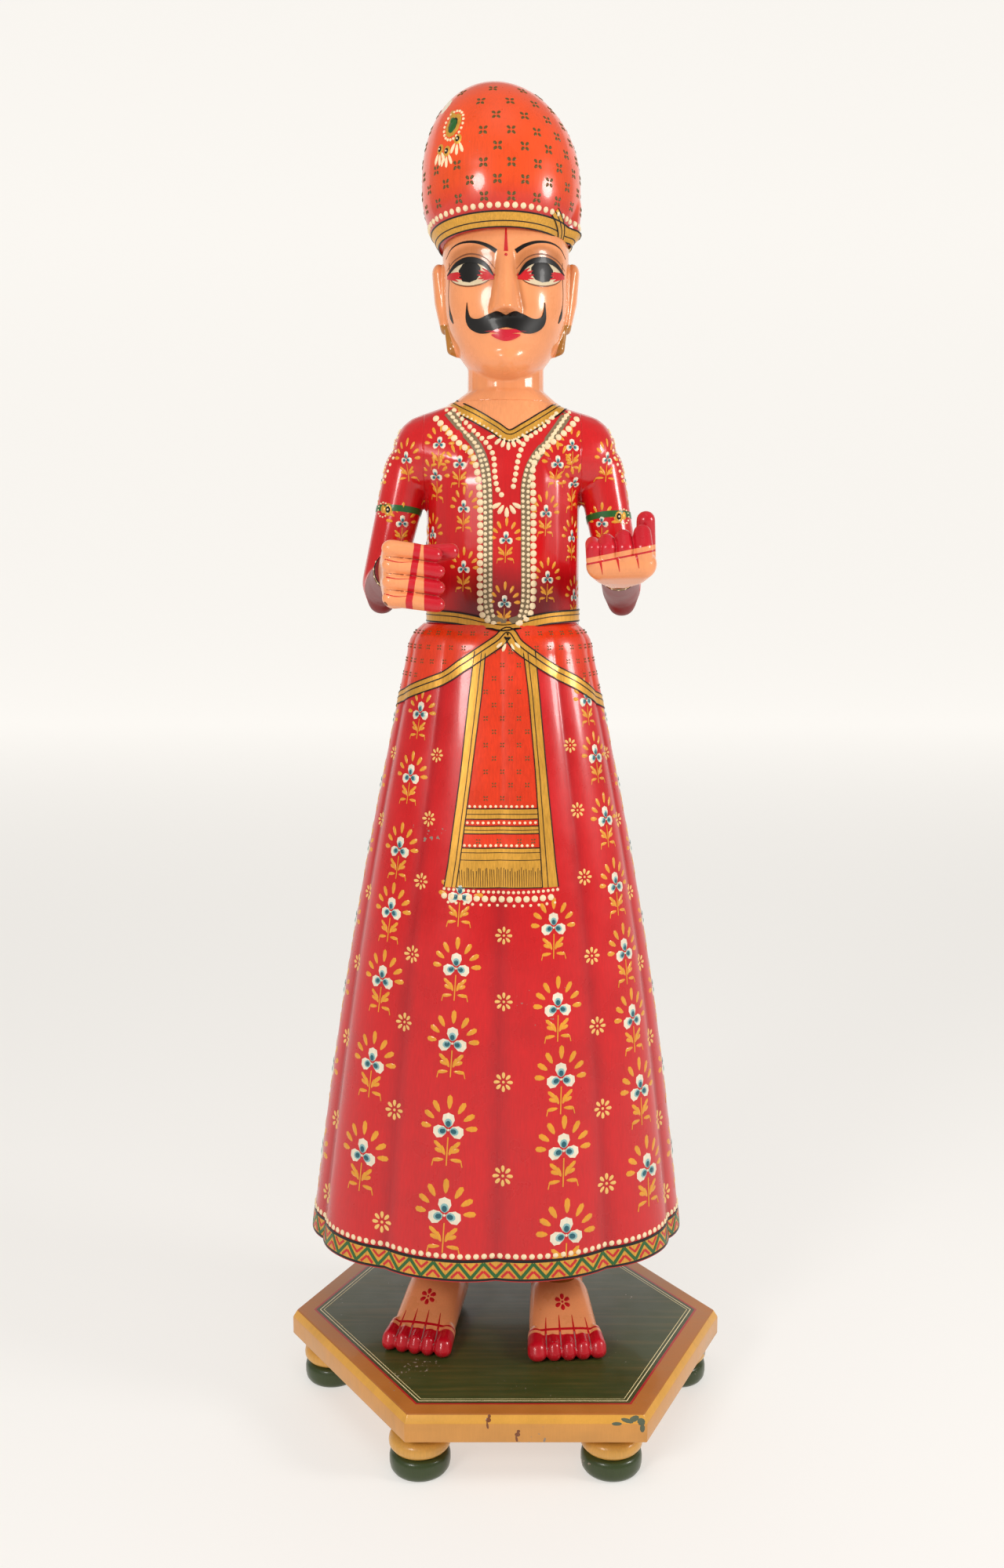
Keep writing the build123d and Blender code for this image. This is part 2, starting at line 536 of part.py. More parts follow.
# ---- The assembly -------------------------------------------------------------
def make_all():
    nodes = {"plinth_board": make_plinth_board()}
    for name, place in BUN_FEET.items():
        nodes[name] = Pos(*place) * make_bun_foot()
    nodes["right_leg"] = make_leg(RIGHT_HEEL, RIGHT_FOOT_WIDTH, -RIGHT_FOOT_SPLAY)
    nodes["left_leg"] = make_leg(LEFT_HEEL, LEFT_FOOT_WIDTH, LEFT_FOOT_SPLAY)
    nodes["right_leg_screw"] = make_leg_screw(RIGHT_HEEL)
    nodes["left_leg_screw"] = make_leg_screw(LEFT_HEEL)
    nodes["skirt"] = make_skirt()
    nodes["waist_dowel"] = dowel((0, 0, WAIST_LEVEL), (0, 0, 1), WAIST_DOWEL)
    nodes["torso"] = make_torso()
    for side, name in ((RIGHT, "right"), (LEFT, "left")):
        nodes[name + "_upper_arm"] = make_upper_arm(side)
        nodes[name + "_forearm"] = make_forearm(side)
        nodes[name + "_shoulder_dowel"] = dowel(shoulder_centre(side), (1, 0, 0), SHOULDER_DOWEL)
        nodes[name + "_elbow_dowel"] = dowel(forearm_joint(side), forearm_direction(side), ELBOW_DOWEL)
        nodes[name + "_wrist_dowel"] = dowel(wrist_centre(side), forearm_direction(side), WRIST_DOWEL)
    nodes["right_hand"] = make_right_hand()
    nodes["left_hand"] = make_left_hand()
    nodes["neck_dowel"] = dowel((0, 0, NECK_LEVEL), (0, 0, 1), NECK_DOWEL)
    nodes["head"] = make_head()
    nodes["turban_peg"] = dowel((0, 0, TURBAN_SEAM), (0, 0, 1), TURBAN_PEG)
    nodes["turban"] = make_turban()
    return nodes


os.makedirs("parts", exist_ok=True)
for name, solid in make_all().items():
    export_step(solid, f"parts/{name}.step")
    print(name, round(solid.volume / 1000, 1), "cm3")
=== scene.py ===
import math
import random

import bmesh
import bpy
from mathutils import Matrix, Vector
from mathutils.bvhtree import BVHTree


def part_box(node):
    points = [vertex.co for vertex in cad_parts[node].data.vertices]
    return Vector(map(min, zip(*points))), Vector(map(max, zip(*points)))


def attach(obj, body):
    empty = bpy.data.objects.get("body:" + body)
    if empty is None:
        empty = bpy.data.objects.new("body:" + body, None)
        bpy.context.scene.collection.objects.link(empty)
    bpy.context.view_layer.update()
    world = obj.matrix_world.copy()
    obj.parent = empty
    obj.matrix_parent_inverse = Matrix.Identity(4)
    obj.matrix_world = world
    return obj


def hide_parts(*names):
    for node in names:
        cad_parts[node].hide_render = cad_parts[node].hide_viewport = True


# A standing puppet figure of carved wood: gesso, oil colours, gilt lines and varnish.
# Metres.  The figure faces -Y and +X is its left-hand side.

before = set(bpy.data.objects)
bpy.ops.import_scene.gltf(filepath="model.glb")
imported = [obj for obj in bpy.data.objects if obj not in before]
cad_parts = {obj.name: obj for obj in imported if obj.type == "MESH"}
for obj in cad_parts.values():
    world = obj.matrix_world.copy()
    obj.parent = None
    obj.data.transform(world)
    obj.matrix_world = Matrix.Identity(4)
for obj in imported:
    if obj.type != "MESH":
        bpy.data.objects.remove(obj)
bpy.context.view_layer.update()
MM = 0.001

# ---- Levels and sizes taken from the frame ---------------------------------------------
PLINTH_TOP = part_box("plinth_board")[1].z
BOARD_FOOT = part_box("plinth_board")[0].z
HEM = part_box("skirt")[0].z
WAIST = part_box("skirt")[1].z
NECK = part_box("torso")[1].z
SEAT_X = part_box("torso")[1].x
TURBAN_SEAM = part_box("turban")[0].z
HEM_HALF_WIDTH = (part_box("skirt")[1].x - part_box("skirt")[0].x) / 2
SKIRT_X = (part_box("skirt")[1].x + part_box("skirt")[0].x) / 2
HEM_HALF_DEPTH = 123 * MM
HIP = WAIST - 26 * MM
FLUTES = 10


# ---- Small tools -----------------------------------------------------------------------
def pick(*pieces):
    """Selects only these pieces and makes the first the active one."""
    bpy.ops.object.select_all(action="DESELECT")
    for piece in pieces:
        piece.select_set(True)
    bpy.context.view_layer.objects.active = pieces[0]


def freeze(piece):
    """Puts a new primitive's place, turn and size into its mesh."""
    pick(piece)
    bpy.ops.object.transform_apply(location=True, rotation=True, scale=True)
    return piece


def edit(piece, tool, **settings):
    """Runs one mesh tool on the whole of a piece."""
    pick(piece)
    bpy.ops.object.mode_set(mode="EDIT")
    bpy.ops.mesh.select_all(action="SELECT")
    tool(**settings)
    bpy.ops.object.mode_set(mode="OBJECT")
    return piece


def modify(piece, kind, **settings):
    """Adds a modifier and applies it."""
    pick(piece)
    modifier = piece.modifiers.new(kind.lower(), kind)
    for key, value in settings.items():
        setattr(modifier, key, value)
    bpy.ops.object.modifier_apply(modifier=modifier.name)
    return piece


def join(pieces, name):
    pick(*pieces)
    if len(pieces) > 1:
        bpy.ops.object.join()
    piece = bpy.context.view_layer.objects.active
    piece.name = name
    piece.data.name = name
    return piece


def soften(piece, angle=None):
    """Smooth shading, with edges kept where faces meet at more than the angle."""
    pick(piece)
    if angle is None:
        bpy.ops.object.shade_smooth()
    else:
        bpy.ops.object.shade_smooth_by_angle(angle=math.radians(angle))
    return piece


def copy_of(piece, name):
    twin = piece.copy()
    twin.data = piece.data.copy()
    twin.name = name
    bpy.context.scene.collection.objects.link(twin)
    return twin


def ball(centre, half_sizes):
    """An ellipsoid of clay, in millimetres, to be joined with others."""
    bpy.ops.mesh.primitive_uv_sphere_add(segments=24, ring_count=12, radius=1,
                                         location=[c * MM for c in centre],
                                         scale=[h * MM for h in half_sizes])
    return freeze(bpy.context.object)


def hull(*balls):
    """The tight skin over several balls (x, y, z, radius) or (x, y, z, rx, ry, rz)."""
    lumps = []
    for spec in balls:
        sizes = spec[3:] if len(spec) == 6 else (spec[3],) * 3
        lumps.append(ball(spec[:3], sizes))
    return edit(join(lumps, "lump"), bpy.ops.mesh.convex_hull)


def carve(lumps, name, grain, rounds):
    """Merges lumps into one skin and sands it smooth; grain is the step in millimetres."""
    piece = join(lumps, name)
    modify(piece, "REMESH", mode="VOXEL", voxel_size=grain * MM)
    modify(piece, "SMOOTH", factor=0.5, iterations=rounds)
    return soften(piece)


def saw(piece, point, normal):
    """Cuts away what lies on the normal's side of a plane and closes the cut."""
    return edit(piece, bpy.ops.mesh.bisect, plane_co=point, plane_no=normal, use_fill=True, clear_outer=True)


def reshape(piece, rule):
    """Moves every vertex by a rule from old place to new place."""
    for vertex in piece.data.vertices:
        vertex.co = rule(vertex.co)
    piece.data.update()
    return piece


def face_out(piece):
    """Welds doubled vertices and turns every face outward."""
    edit(piece, bpy.ops.mesh.remove_doubles, threshold=0.01 * MM)
    return edit(piece, bpy.ops.mesh.normals_make_consistent, inside=False)


def finish_piece(piece, slot, material, replaced=()):
    piece.data.materials.clear()
    piece.data.materials.append(material)
    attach(piece, "root")
    if replaced:
        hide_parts(*replaced)
    return piece


# ---- Charts: from a place on a flat drawing to a place on the wood ---------------------
def skin_of(*pieces):
    """The joined surface of some pieces, ready for finding places on it."""
    corners, faces = [], []
    for piece in pieces:
        start = len(corners)
        corners += [vertex.co.copy() for vertex in piece.data.vertices]
        faces += [[start + i for i in polygon.vertices] for polygon in piece.data.polygons]
    return BVHTree.FromPolygons(corners, faces)


def meet(skin, start, heading, reach):
    """Where a straight line first meets the skin, or else the nearest place on it to the line's middle."""
    spot, normal, _, _ = skin.ray_cast(start, heading)
    if spot is None:
        spot, normal, _, _ = skin.find_nearest(start + heading * reach)
    return spot, normal


def front(skin):
    """Chart of the view from straight ahead: (across, level)."""
    return lambda x, z: meet(skin, Vector((x * MM, -0.4, z * MM)), Vector((0, 1, 0)), 0.36)


def around(skin, x, y):
    """Chart wrapped about an upright axis: (degrees from the front towards +X, level)."""
    def place(degrees, z):
        out = Vector((math.sin(math.radians(degrees)), -math.cos(math.radians(degrees)), 0))
        return meet(skin, Vector((x * MM, y * MM, z * MM)) + out * 0.16, -out, 0.11)
    return place


def flat_at(skin, spot, outward, up=(0, 0, 1)):
    """Chart pressed on square at one spot, for a small motif: (across, up)."""
    outward = Vector(outward).normalized()
    right = Vector(up).cross(outward).normalized()
    rise = outward.cross(right)
    return lambda u, v: meet(skin, spot + (right * u + rise * v + outward * 30) * MM, -outward, 0.03)


def on_bell(turns, z):
    """Chart of the skirt: (flutes counted from the front groove, level)."""
    spot = bell_point(turns, z * MM)
    across = bell_point(turns + 0.02, z * MM) - bell_point(turns - 0.02, z * MM)
    rise = bell_point(turns, z * MM + 0.002) - bell_point(turns, z * MM - 0.002)
    return spot, across.cross(rise).normalized()


def between(table, at):
    """Reads a value from a short table of (place, value) pairs, straight between its rows."""
    for (low, first), (high, second) in zip(table, table[1:]):
        if at <= high:
            return first + (second - first) * max(0.0, (at - low) / (high - low))
    return table[-1][1]


def curved(path, fine):
    """A smooth path through some places, with this many steps from each to the next."""
    points = [Vector(p) for p in path]
    ends = [points[0] * 2 - points[1]] + points + [points[-1] * 2 - points[-2]]
    steps = []
    for i in range(1, len(ends) - 2):
        a, b, c, d = ends[i - 1:i + 3]
        for k in range(fine):
            t = k / fine
            steps.append((b * 2 + (c - a) * t + (a * 2 - b * 5 + c * 4 - d) * t * t
                          + (b * 3 - a - c * 3 + d) * t ** 3) / 2)
    return steps + [points[-1]]


def spaced(place, path, gap):
    """Places at equal gaps in millimetres along a path of a chart."""
    fine = curved(path, 24)
    spots = [place(*step)[0] for step in fine]
    gone, places, due = 0.0, [], 0.0
    for (here, spot), (then, after) in zip(zip(fine, spots), zip(fine[1:], spots[1:])):
        length = (after - spot).length / MM
        while length > 0 and due <= gone + length:
            places.append(tuple(here.lerp(then, (due - gone) / length)))
            due += gap
        gone += length
    return places


# ---- Paint laid on as thin raised pieces -----------------------------------------------
def grid(along, across):
    bpy.ops.object.select_all(action="DESELECT")
    bpy.ops.mesh.primitive_grid_add(x_subdivisions=across, y_subdivisions=along, size=1)
    return bpy.context.object


def close_coat(piece, outward, depth, loop=False):
    """Turns an open sheet of paint into a thin closed piece sunk a little into the wood."""
    if loop:
        edit(piece, bpy.ops.mesh.remove_doubles, threshold=0.02 * MM)
    piece.data.update()
    if piece.data.polygons[0].normal.dot(outward) < 0:
        piece.data.flip_normals()
    return modify(piece, "SOLIDIFY", thickness=depth * MM, offset=-1)


def sheet(place, rule, along, across, lift=0.3, loop=False):
    """A filled shape: rule(s, t) gives its chart place, s running along it and t across."""
    piece = grid(along, across)
    first = place(*rule(0.0, 0.0))[1]
    for vertex in piece.data.vertices:
        spot, normal = place(*rule(vertex.co.y + 0.5, vertex.co.x + 0.5))
        vertex.co = spot + normal * lift * MM
    return close_coat(piece, first, lift + 0.3, loop)


def ruled(place, low, high, fine=4, across=4, lift=0.3):
    """A filled shape between two edges, each a list of chart places."""
    low, high = curved(low, fine), curved(high, fine)
    last = len(low) - 1
    return sheet(place, lambda s, t: low[round(s * last)].lerp(high[round(s * last)], t), last, across, lift)


def line(place, path, width, fine=4, lift=0.35, aside=0.0):
    """A brush line along a path of a chart; width in millimetres, or a rule of how far along it is.

    aside moves it off the path, to the left as it is drawn.
    """
    places = [place(*step) for step in curved(path, fine)]
    last = len(places) - 1
    piece = grid(last, 2)
    for vertex in piece.data.vertices:
        i = round((vertex.co.y + 0.5) * last)
        before, after = places[max(i - 1, 0)], places[min(i + 1, last)]
        spot = places[i][0]
        normal = (before[1] + places[i][1] * 2 + after[1]).normalized()
        tangent = (after[0] - before[0]).normalized()
        side = tangent.cross(normal).normalized()
        half = (width(i / last) if callable(width) else width) / 2
        out = vertex.co.x * 2 * half - aside
        vertex.co = spot + (side * out + normal * (lift - 0.1 * abs(vertex.co.x) * 2)) * MM
    return close_coat(piece, places[0][1], lift + 0.3)


def flat_master(kind):
    """The three marks every motif is made of, one unit long each way: a bead, a dab and a bar."""
    bpy.ops.object.select_all(action="DESELECT")
    if kind == "bar":
        master = grid(4, 1)
        modify(master, "SOLIDIFY", thickness=1.0, offset=0)
    else:
        bpy.ops.mesh.primitive_uv_sphere_add(segments=8 if kind == "dab" else 10, ring_count=4, radius=1)
        master = bpy.context.object
    master.name = kind
    if kind == "dab":
        for vertex in master.data.vertices:
            vertex.co.x *= 1 + 0.28 * vertex.co.y
    soften(master)
    return master


MASTERS = {kind: flat_master(kind) for kind in ("bead", "dab", "bar")}


def mark(kind, u, v, half_width, half_length, degrees=0.0, height=0.5):
    """One mark on the flat; degrees turn its length from upright towards +u."""
    twin = copy_of(MASTERS[kind], "mark")
    size = Matrix.Diagonal((half_width * MM, half_length * MM, height * MM, 1))
    if kind == "bar":
        size = Matrix.Diagonal((half_width * 2 * MM, half_length * 2 * MM, height * MM, 1))
    turn = Matrix.Rotation(math.radians(-degrees), 4, "Z")
    twin.data.transform(Matrix.Translation((u * MM, v * MM, 0)) @ turn @ size)
    return twin


def stroke(u0, v0, u1, v1, width, height=0.5):
    """A straight mark on the flat from one place to another."""
    degrees = math.degrees(math.atan2(u1 - u0, v1 - v0))
    half_length = math.hypot(u1 - u0, v1 - v0) / 2
    return mark("bar", (u0 + u1) / 2, (v0 + v1) / 2, width / 2, half_length, degrees, height)


def ray(degrees, reach, half_width, half_length, height, rise=0.0):
    """A dab pointing out from the middle of the flat, clockwise from upright."""
    turn = math.radians(degrees)
    u, v = math.sin(turn) * reach, math.cos(turn) * reach + rise
    return mark("dab", u, v, half_width, half_length, degrees, height)


def oval_ring(half_width, half_height, count, middle=(0.0, 0.0)):
    """Places spread round an oval on the flat, from its top."""
    return [(middle[0] + half_width * math.sin(2 * math.pi * k / count),
             middle[1] + half_height * math.cos(2 * math.pi * k / count)) for k in range(count)]


def press(motif, place, wide=1.0, tall=1.0, lift=0.0):
    """A copy of a flat motif laid on a chart."""
    twin = copy_of(motif, motif.name)
    for vertex in twin.data.vertices:
        spot, normal = place(vertex.co.x / MM * wide, vertex.co.y / MM * tall)
        vertex.co = spot + normal * (vertex.co.z + lift * MM)
    return twin


def scatter(motif, places, lift=0.0):
    """The motif pressed on at each chart; the motif itself is then thrown away."""
    laid = [press(motif, place, lift=lift) for place in places]
    bpy.data.objects.remove(motif)
    return laid


def beads(place, places, radius, height=None):
    """A bead on each place of a chart."""
    row = []
    for u, v in places:
        spot, normal = place(u, v)
        twin = copy_of(MASTERS["bead"], "bead")
        turn = normal.to_track_quat("Z", "Y").to_matrix().to_4x4()
        size = Matrix.Diagonal((radius * MM, radius * MM, (height or radius * 0.5) * MM, 1))
        twin.data.transform(Matrix.Translation(spot) @ turn @ size)
        row.append(twin)
    return row


# ---- Colour and materials --------------------------------------------------------------
def colour(hex_code):
    """A linear colour from an sRGB hex code."""
    channels = [int(hex_code[i:i + 2], 16) / 255 for i in (0, 2, 4)]
    return [c / 12.92 if c <= 0.04045 else ((c + 0.055) / 1.055) ** 2.4 for c in channels] + [1]


def add(tree, kind, inputs, out=0, **settings):
    """Adds a node with its settings, values and links, and gives one of its outputs."""
    node = tree.nodes.new("ShaderNode" + kind)
    for key, value in settings.items():
        setattr(node, key, value)
    pairs = inputs.items() if isinstance(inputs, dict) else enumerate(inputs)
    for key, value in pairs:
        if isinstance(value, bpy.types.NodeSocket):
            tree.links.new(value, node.inputs[key])
        else:
            node.inputs[key].default_value = value
    return node.outputs[out]


RED = "CB1016"
ORANGE = "EA4C16"
SKIN = "F09A64"
GOLD = "DBA03C"
OCHRE = "B06A2A"
INK = "0B0706"
CREAM = "F4DDB4"


def painted_wood(name, build, roughness=0.28, streak=1.0, bump=0.22, coat=0.4, metal=0.0, worn=0.0):
    """Oil colour brushed over carved wood and varnished: thin brush ridges under a wet gloss.

    build(tree, place) gives the colour, as a socket or as one linear colour; place is in metres.
    worn is how much of the colour is rubbed through to grey gesso.
    """
    material = bpy.data.materials.new(name)
    material.use_nodes = True
    tree = material.node_tree
    shader = tree.nodes["Principled BSDF"]
    place = add(tree, "TexCoord", {}, out=3)
    paint = build(tree, place)
    # brush ridges about 1.2 mm apart, drawn along the height of the figure
    ridges = add(tree, "Mapping", {0: place, 3: (0.8 / MM, 0.8 / MM, 0.05 / MM)})
    brush = add(tree, "TexNoise", {"Vector": ridges, "Scale": 1.0, "Detail": 3.0, "Roughness": 0.6})
    # slow drift of tone, patches about 35 mm across
    uneven = add(tree, "TexNoise", {"Vector": place, "Scale": 28.0, "Detail": 4.0, "Roughness": 0.55})
    shade = add(tree, "MapRange", {0: brush, 1: 0.25, 2: 0.75, 3: 1 - 0.10 * streak, 4: 1 + 0.08 * streak})
    drift = add(tree, "MapRange", {0: uneven, 1: 0.3, 2: 0.7, 3: 0.92, 4: 1.06})
    value = add(tree, "Math", [shade, drift], operation="MULTIPLY")
    tone = add(tree, "HueSaturation", {"Value": value, "Color": paint})
    if worn:
        # chips 1 to 4 mm across, in clusters
        specks = add(tree, "TexNoise", {"Vector": place, "Scale": 260.0, "Detail": 2.0})
        clusters = add(tree, "TexNoise", {"Vector": place, "Scale": 17.0, "Detail": 2.0})
        both = add(tree, "Math", [specks, clusters], operation="ADD")
        chipped = add(tree, "MapRange", {0: both, 1: 1.40 - worn * 0.1, 2: 1.43 - worn * 0.1})
        tone = add(tree, "Mix", {0: chipped, 6: tone, 7: colour("8E8072")}, out=2, data_type="RGBA")
    gloss = add(tree, "MapRange", {0: uneven, 1: 0.3, 2: 0.7, 3: roughness - 0.06, 4: roughness + 0.10})
    height = add(tree, "Math", [brush, uneven], operation="ADD")
    relief = add(tree, "Bump", {"Strength": bump, "Distance": 0.25 * MM, "Height": height})
    tree.links.new(tone, shader.inputs["Base Color"])
    tree.links.new(gloss, shader.inputs["Roughness"])
    tree.links.new(relief, shader.inputs["Normal"])
    shader.inputs["Coat Weight"].default_value = coat
    shader.inputs["Coat Roughness"].default_value = 0.1
    shader.inputs["Specular IOR Level"].default_value = 0.35
    shader.inputs["Metallic"].default_value = metal
    return material


def only(hex_code):
    """A build rule for one colour all over; the brush and the drift still vary it."""
    return lambda tree, place: colour(hex_code)


# ---- Camera, light and floor -----------------------------------------------------------
def make_stage():
    camera = bpy.data.cameras.new("camera")
    camera.sensor_fit = "VERTICAL"
    camera.sensor_height = 36
    camera.lens = 33.2
    camera.clip_start = 0.05
    holder = bpy.data.objects.new("camera", camera)
    holder.location = (-0.0033, -1.323, 0.789)
    holder.rotation_euler = (math.pi / 2 - 0.15, 0, 0)
    bpy.context.scene.collection.objects.link(holder)
    bpy.context.scene.camera = holder

    bpy.ops.object.select_all(action="DESELECT")
    bpy.ops.mesh.primitive_grid_add(x_subdivisions=40, y_subdivisions=120, size=1)
    floor = bpy.context.object
    floor.name = "studio_sweep"
    flat, radius = 6.0, 3.0

    def sweep(co):
        along = (co.y + 0.5) * 26.0 - 10.0
        turn = min(max(along - flat, 0.0) / radius, math.pi / 2)
        rise = max(along - flat - radius * math.pi / 2, 0.0)
        return Vector((co.x * 24, min(along, flat) + radius * math.sin(turn),
                       radius * (1 - math.cos(turn)) + rise))

    reshape(floor, sweep)
    soften(floor)
    # opal acrylic lit from behind and below: it glows evenly and only soft shadows fall on it
    opal = bpy.data.materials.new("opal_acrylic_sweep")
    opal.use_nodes = True
    shader = opal.node_tree.nodes["Principled BSDF"]
    shader.inputs["Base Color"].default_value = (0.38, 0.376, 0.37, 1)
    shader.inputs["Roughness"].default_value = 0.8
    shader.inputs["Emission Color"].default_value = colour("F5F2ED")
    place = add(opal.node_tree, "TexCoord", {}, out=3)
    depth = add(opal.node_tree, "SeparateXYZ", [place], out=1)
    glow = add(opal.node_tree, "MapRange", {0: depth, 1: 0.5, 2: 7.0, 3: 0.62, 4: 0.80},
               interpolation_type="SMOOTHSTEP")
    opal.node_tree.links.new(glow, shader.inputs["Emission Strength"])
    floor.data.materials.append(opal)

    world = bpy.data.worlds.new("studio")
    bpy.context.scene.world = world
    world.use_nodes = True
    world.node_tree.nodes["Background"].inputs[0].default_value = colour("F6F2EC")
    world.node_tree.nodes["Background"].inputs[1].default_value = 0.42
    for name, place, size, power in (("softbox_right", (-0.98, -1.55, 1.25), 0.55, 15),
                                     ("softbox_left", (1.72, -0.66, 1.2), 0.55, 17),
                                     ("overhead", (0.0, -0.9, 2.9), 1.6, 16)):
        lamp = bpy.data.lights.new(name, "AREA")
        lamp.shape = "DISK"
        lamp.size = size
        lamp.energy = power
        lamp.color = (1.0, 0.98, 0.95)
        lamp_holder = bpy.data.objects.new(name, lamp)
        lamp_holder.location = place
        aim = Vector((0, 0, 0.75)) - Vector(place)
        lamp_holder.rotation_euler = aim.to_track_quat("-Z", "Y").to_euler()
        lamp_holder.visible_glossy = name != "overhead"
        bpy.context.scene.collection.objects.link(lamp_holder)
    bpy.context.scene.view_settings.view_transform = "Standard"


make_stage()


# ---- Skirt -----------------------------------------------------------------------------
def bell_sizes(level):
    """Half width and half depth of the skirt at a level."""
    if level > HIP:
        rise = min((level - HIP) / (WAIST - HIP), 1.0)
        round_in = math.sqrt(1 - rise ** 2) ** 1.5
        return (67 + 17 * round_in) * MM, (48 + 12 * round_in) * MM
    share = (HIP - level) / (HIP - HEM)
    bulge = 8 * MM * math.sin(math.pi * share)
    return (84 * MM + (HEM_HALF_WIDTH - 84 * MM) * share + bulge,
            60 * MM + (HEM_HALF_DEPTH - 60 * MM) * share + bulge)


def bell_point(turns, level, wall=0.0):
    """A point of the fluted skirt; turns counts flutes from the front groove to the figure's left."""
    half_width, half_depth = bell_sizes(level)
    share = max(0.0, min(1.0, (HIP - level) / (HIP - HEM)))
    groove = (2.2 + 3.4 * share) * MM if wall == 0 else 0
    if level > HIP:
        groove *= math.sqrt(max(0.0, (WAIST - level) / (WAIST - HIP)))
    across = (turns % 1.0) * 2 - 1
    inset = groove * (abs(across) ** 2.4) + wall
    angle = math.radians(-90 + 360 * turns / FLUTES)
    lean = -4 * MM * share ** 2
    return Vector((SKIRT_X + lean + (half_width - inset) * math.cos(angle),
                   (half_depth - inset) * math.sin(angle), level))


def make_skirt():
    """The bell: outer flutes, a narrow rim and the hollow inside, from one tube of many rings."""
    around, outer, inner = FLUTES * 24, 110, 24
    rings = outer + inner
    bpy.ops.object.select_all(action="DESELECT")
    bpy.ops.mesh.primitive_cylinder_add(vertices=around, radius=1, depth=1, end_fill_type="NGON")
    skirt = bpy.context.object
    bpy.ops.object.mode_set(mode="EDIT")
    bpy.ops.mesh.select_all(action="DESELECT")
    mesh = bmesh.from_edit_mesh(skirt.data)
    for edge in mesh.edges:
        edge.select = abs(edge.verts[0].co.z - edge.verts[1].co.z) > 0.5
    bmesh.update_edit_mesh(skirt.data)
    bpy.ops.mesh.subdivide(number_cuts=rings - 1)
    bpy.ops.object.mode_set(mode="OBJECT")
    roof = HEM + 310 * MM
    wall = 24 * MM

    def turns_of(co):
        return (math.atan2(co.y, co.x) / (2 * math.pi) + 0.25) * FLUTES

    def shape(co):
        ring = round((0.5 - co.z) * rings)
        turns = turns_of(co)
        if ring <= outer:
            share = ring / outer
            eased = share ** 1.25
            return bell_point(turns, WAIST + (HEM - WAIST) * eased)
        climb = (ring - outer) / inner
        thickness = wall * min(1.0, 0.25 + climb * 6)
        return bell_point(turns, HEM + (roof - HEM) * max(0.0, climb - 0.04) / 0.96, thickness)

    layout = [turns_of(vertex.co) for vertex in skirt.data.vertices]
    reshape(skirt, shape)
    # the chart holds the turns and the level, so the colour can follow the flutes
    chart = skirt.data.uv_layers[0]
    chart.name = "chart"
    for polygon in skirt.data.polygons:
        turns = [layout[skirt.data.loops[i].vertex_index] % FLUTES for i in polygon.loop_indices]
        wraps = max(turns) - min(turns) > FLUTES / 2 and len(turns) == 4
        for loop, turn in zip(polygon.loop_indices, turns):
            if wraps and turn < FLUTES / 2:
                turn += FLUTES
            if wraps or turn > FLUTES / 2:
                turn -= FLUTES
            level = skirt.data.vertices[skirt.data.loops[loop].vertex_index].co.z
            chart.data[loop].uv = (turn, level)
    return soften(face_out(skirt), 40)


# ---- Torso and arms --------------------------------------------------------------------
RIGHT_ELBOW = (-112, 5, 766)
RIGHT_WRIST = (-93, -79, 784)
LEFT_ELBOW = (105, 5, 764)
LEFT_WRIST = (96, -79, 786)
ARM_JOINTS = {"right": (RIGHT_ELBOW, RIGHT_WRIST), "left": (LEFT_ELBOW, LEFT_WRIST)}


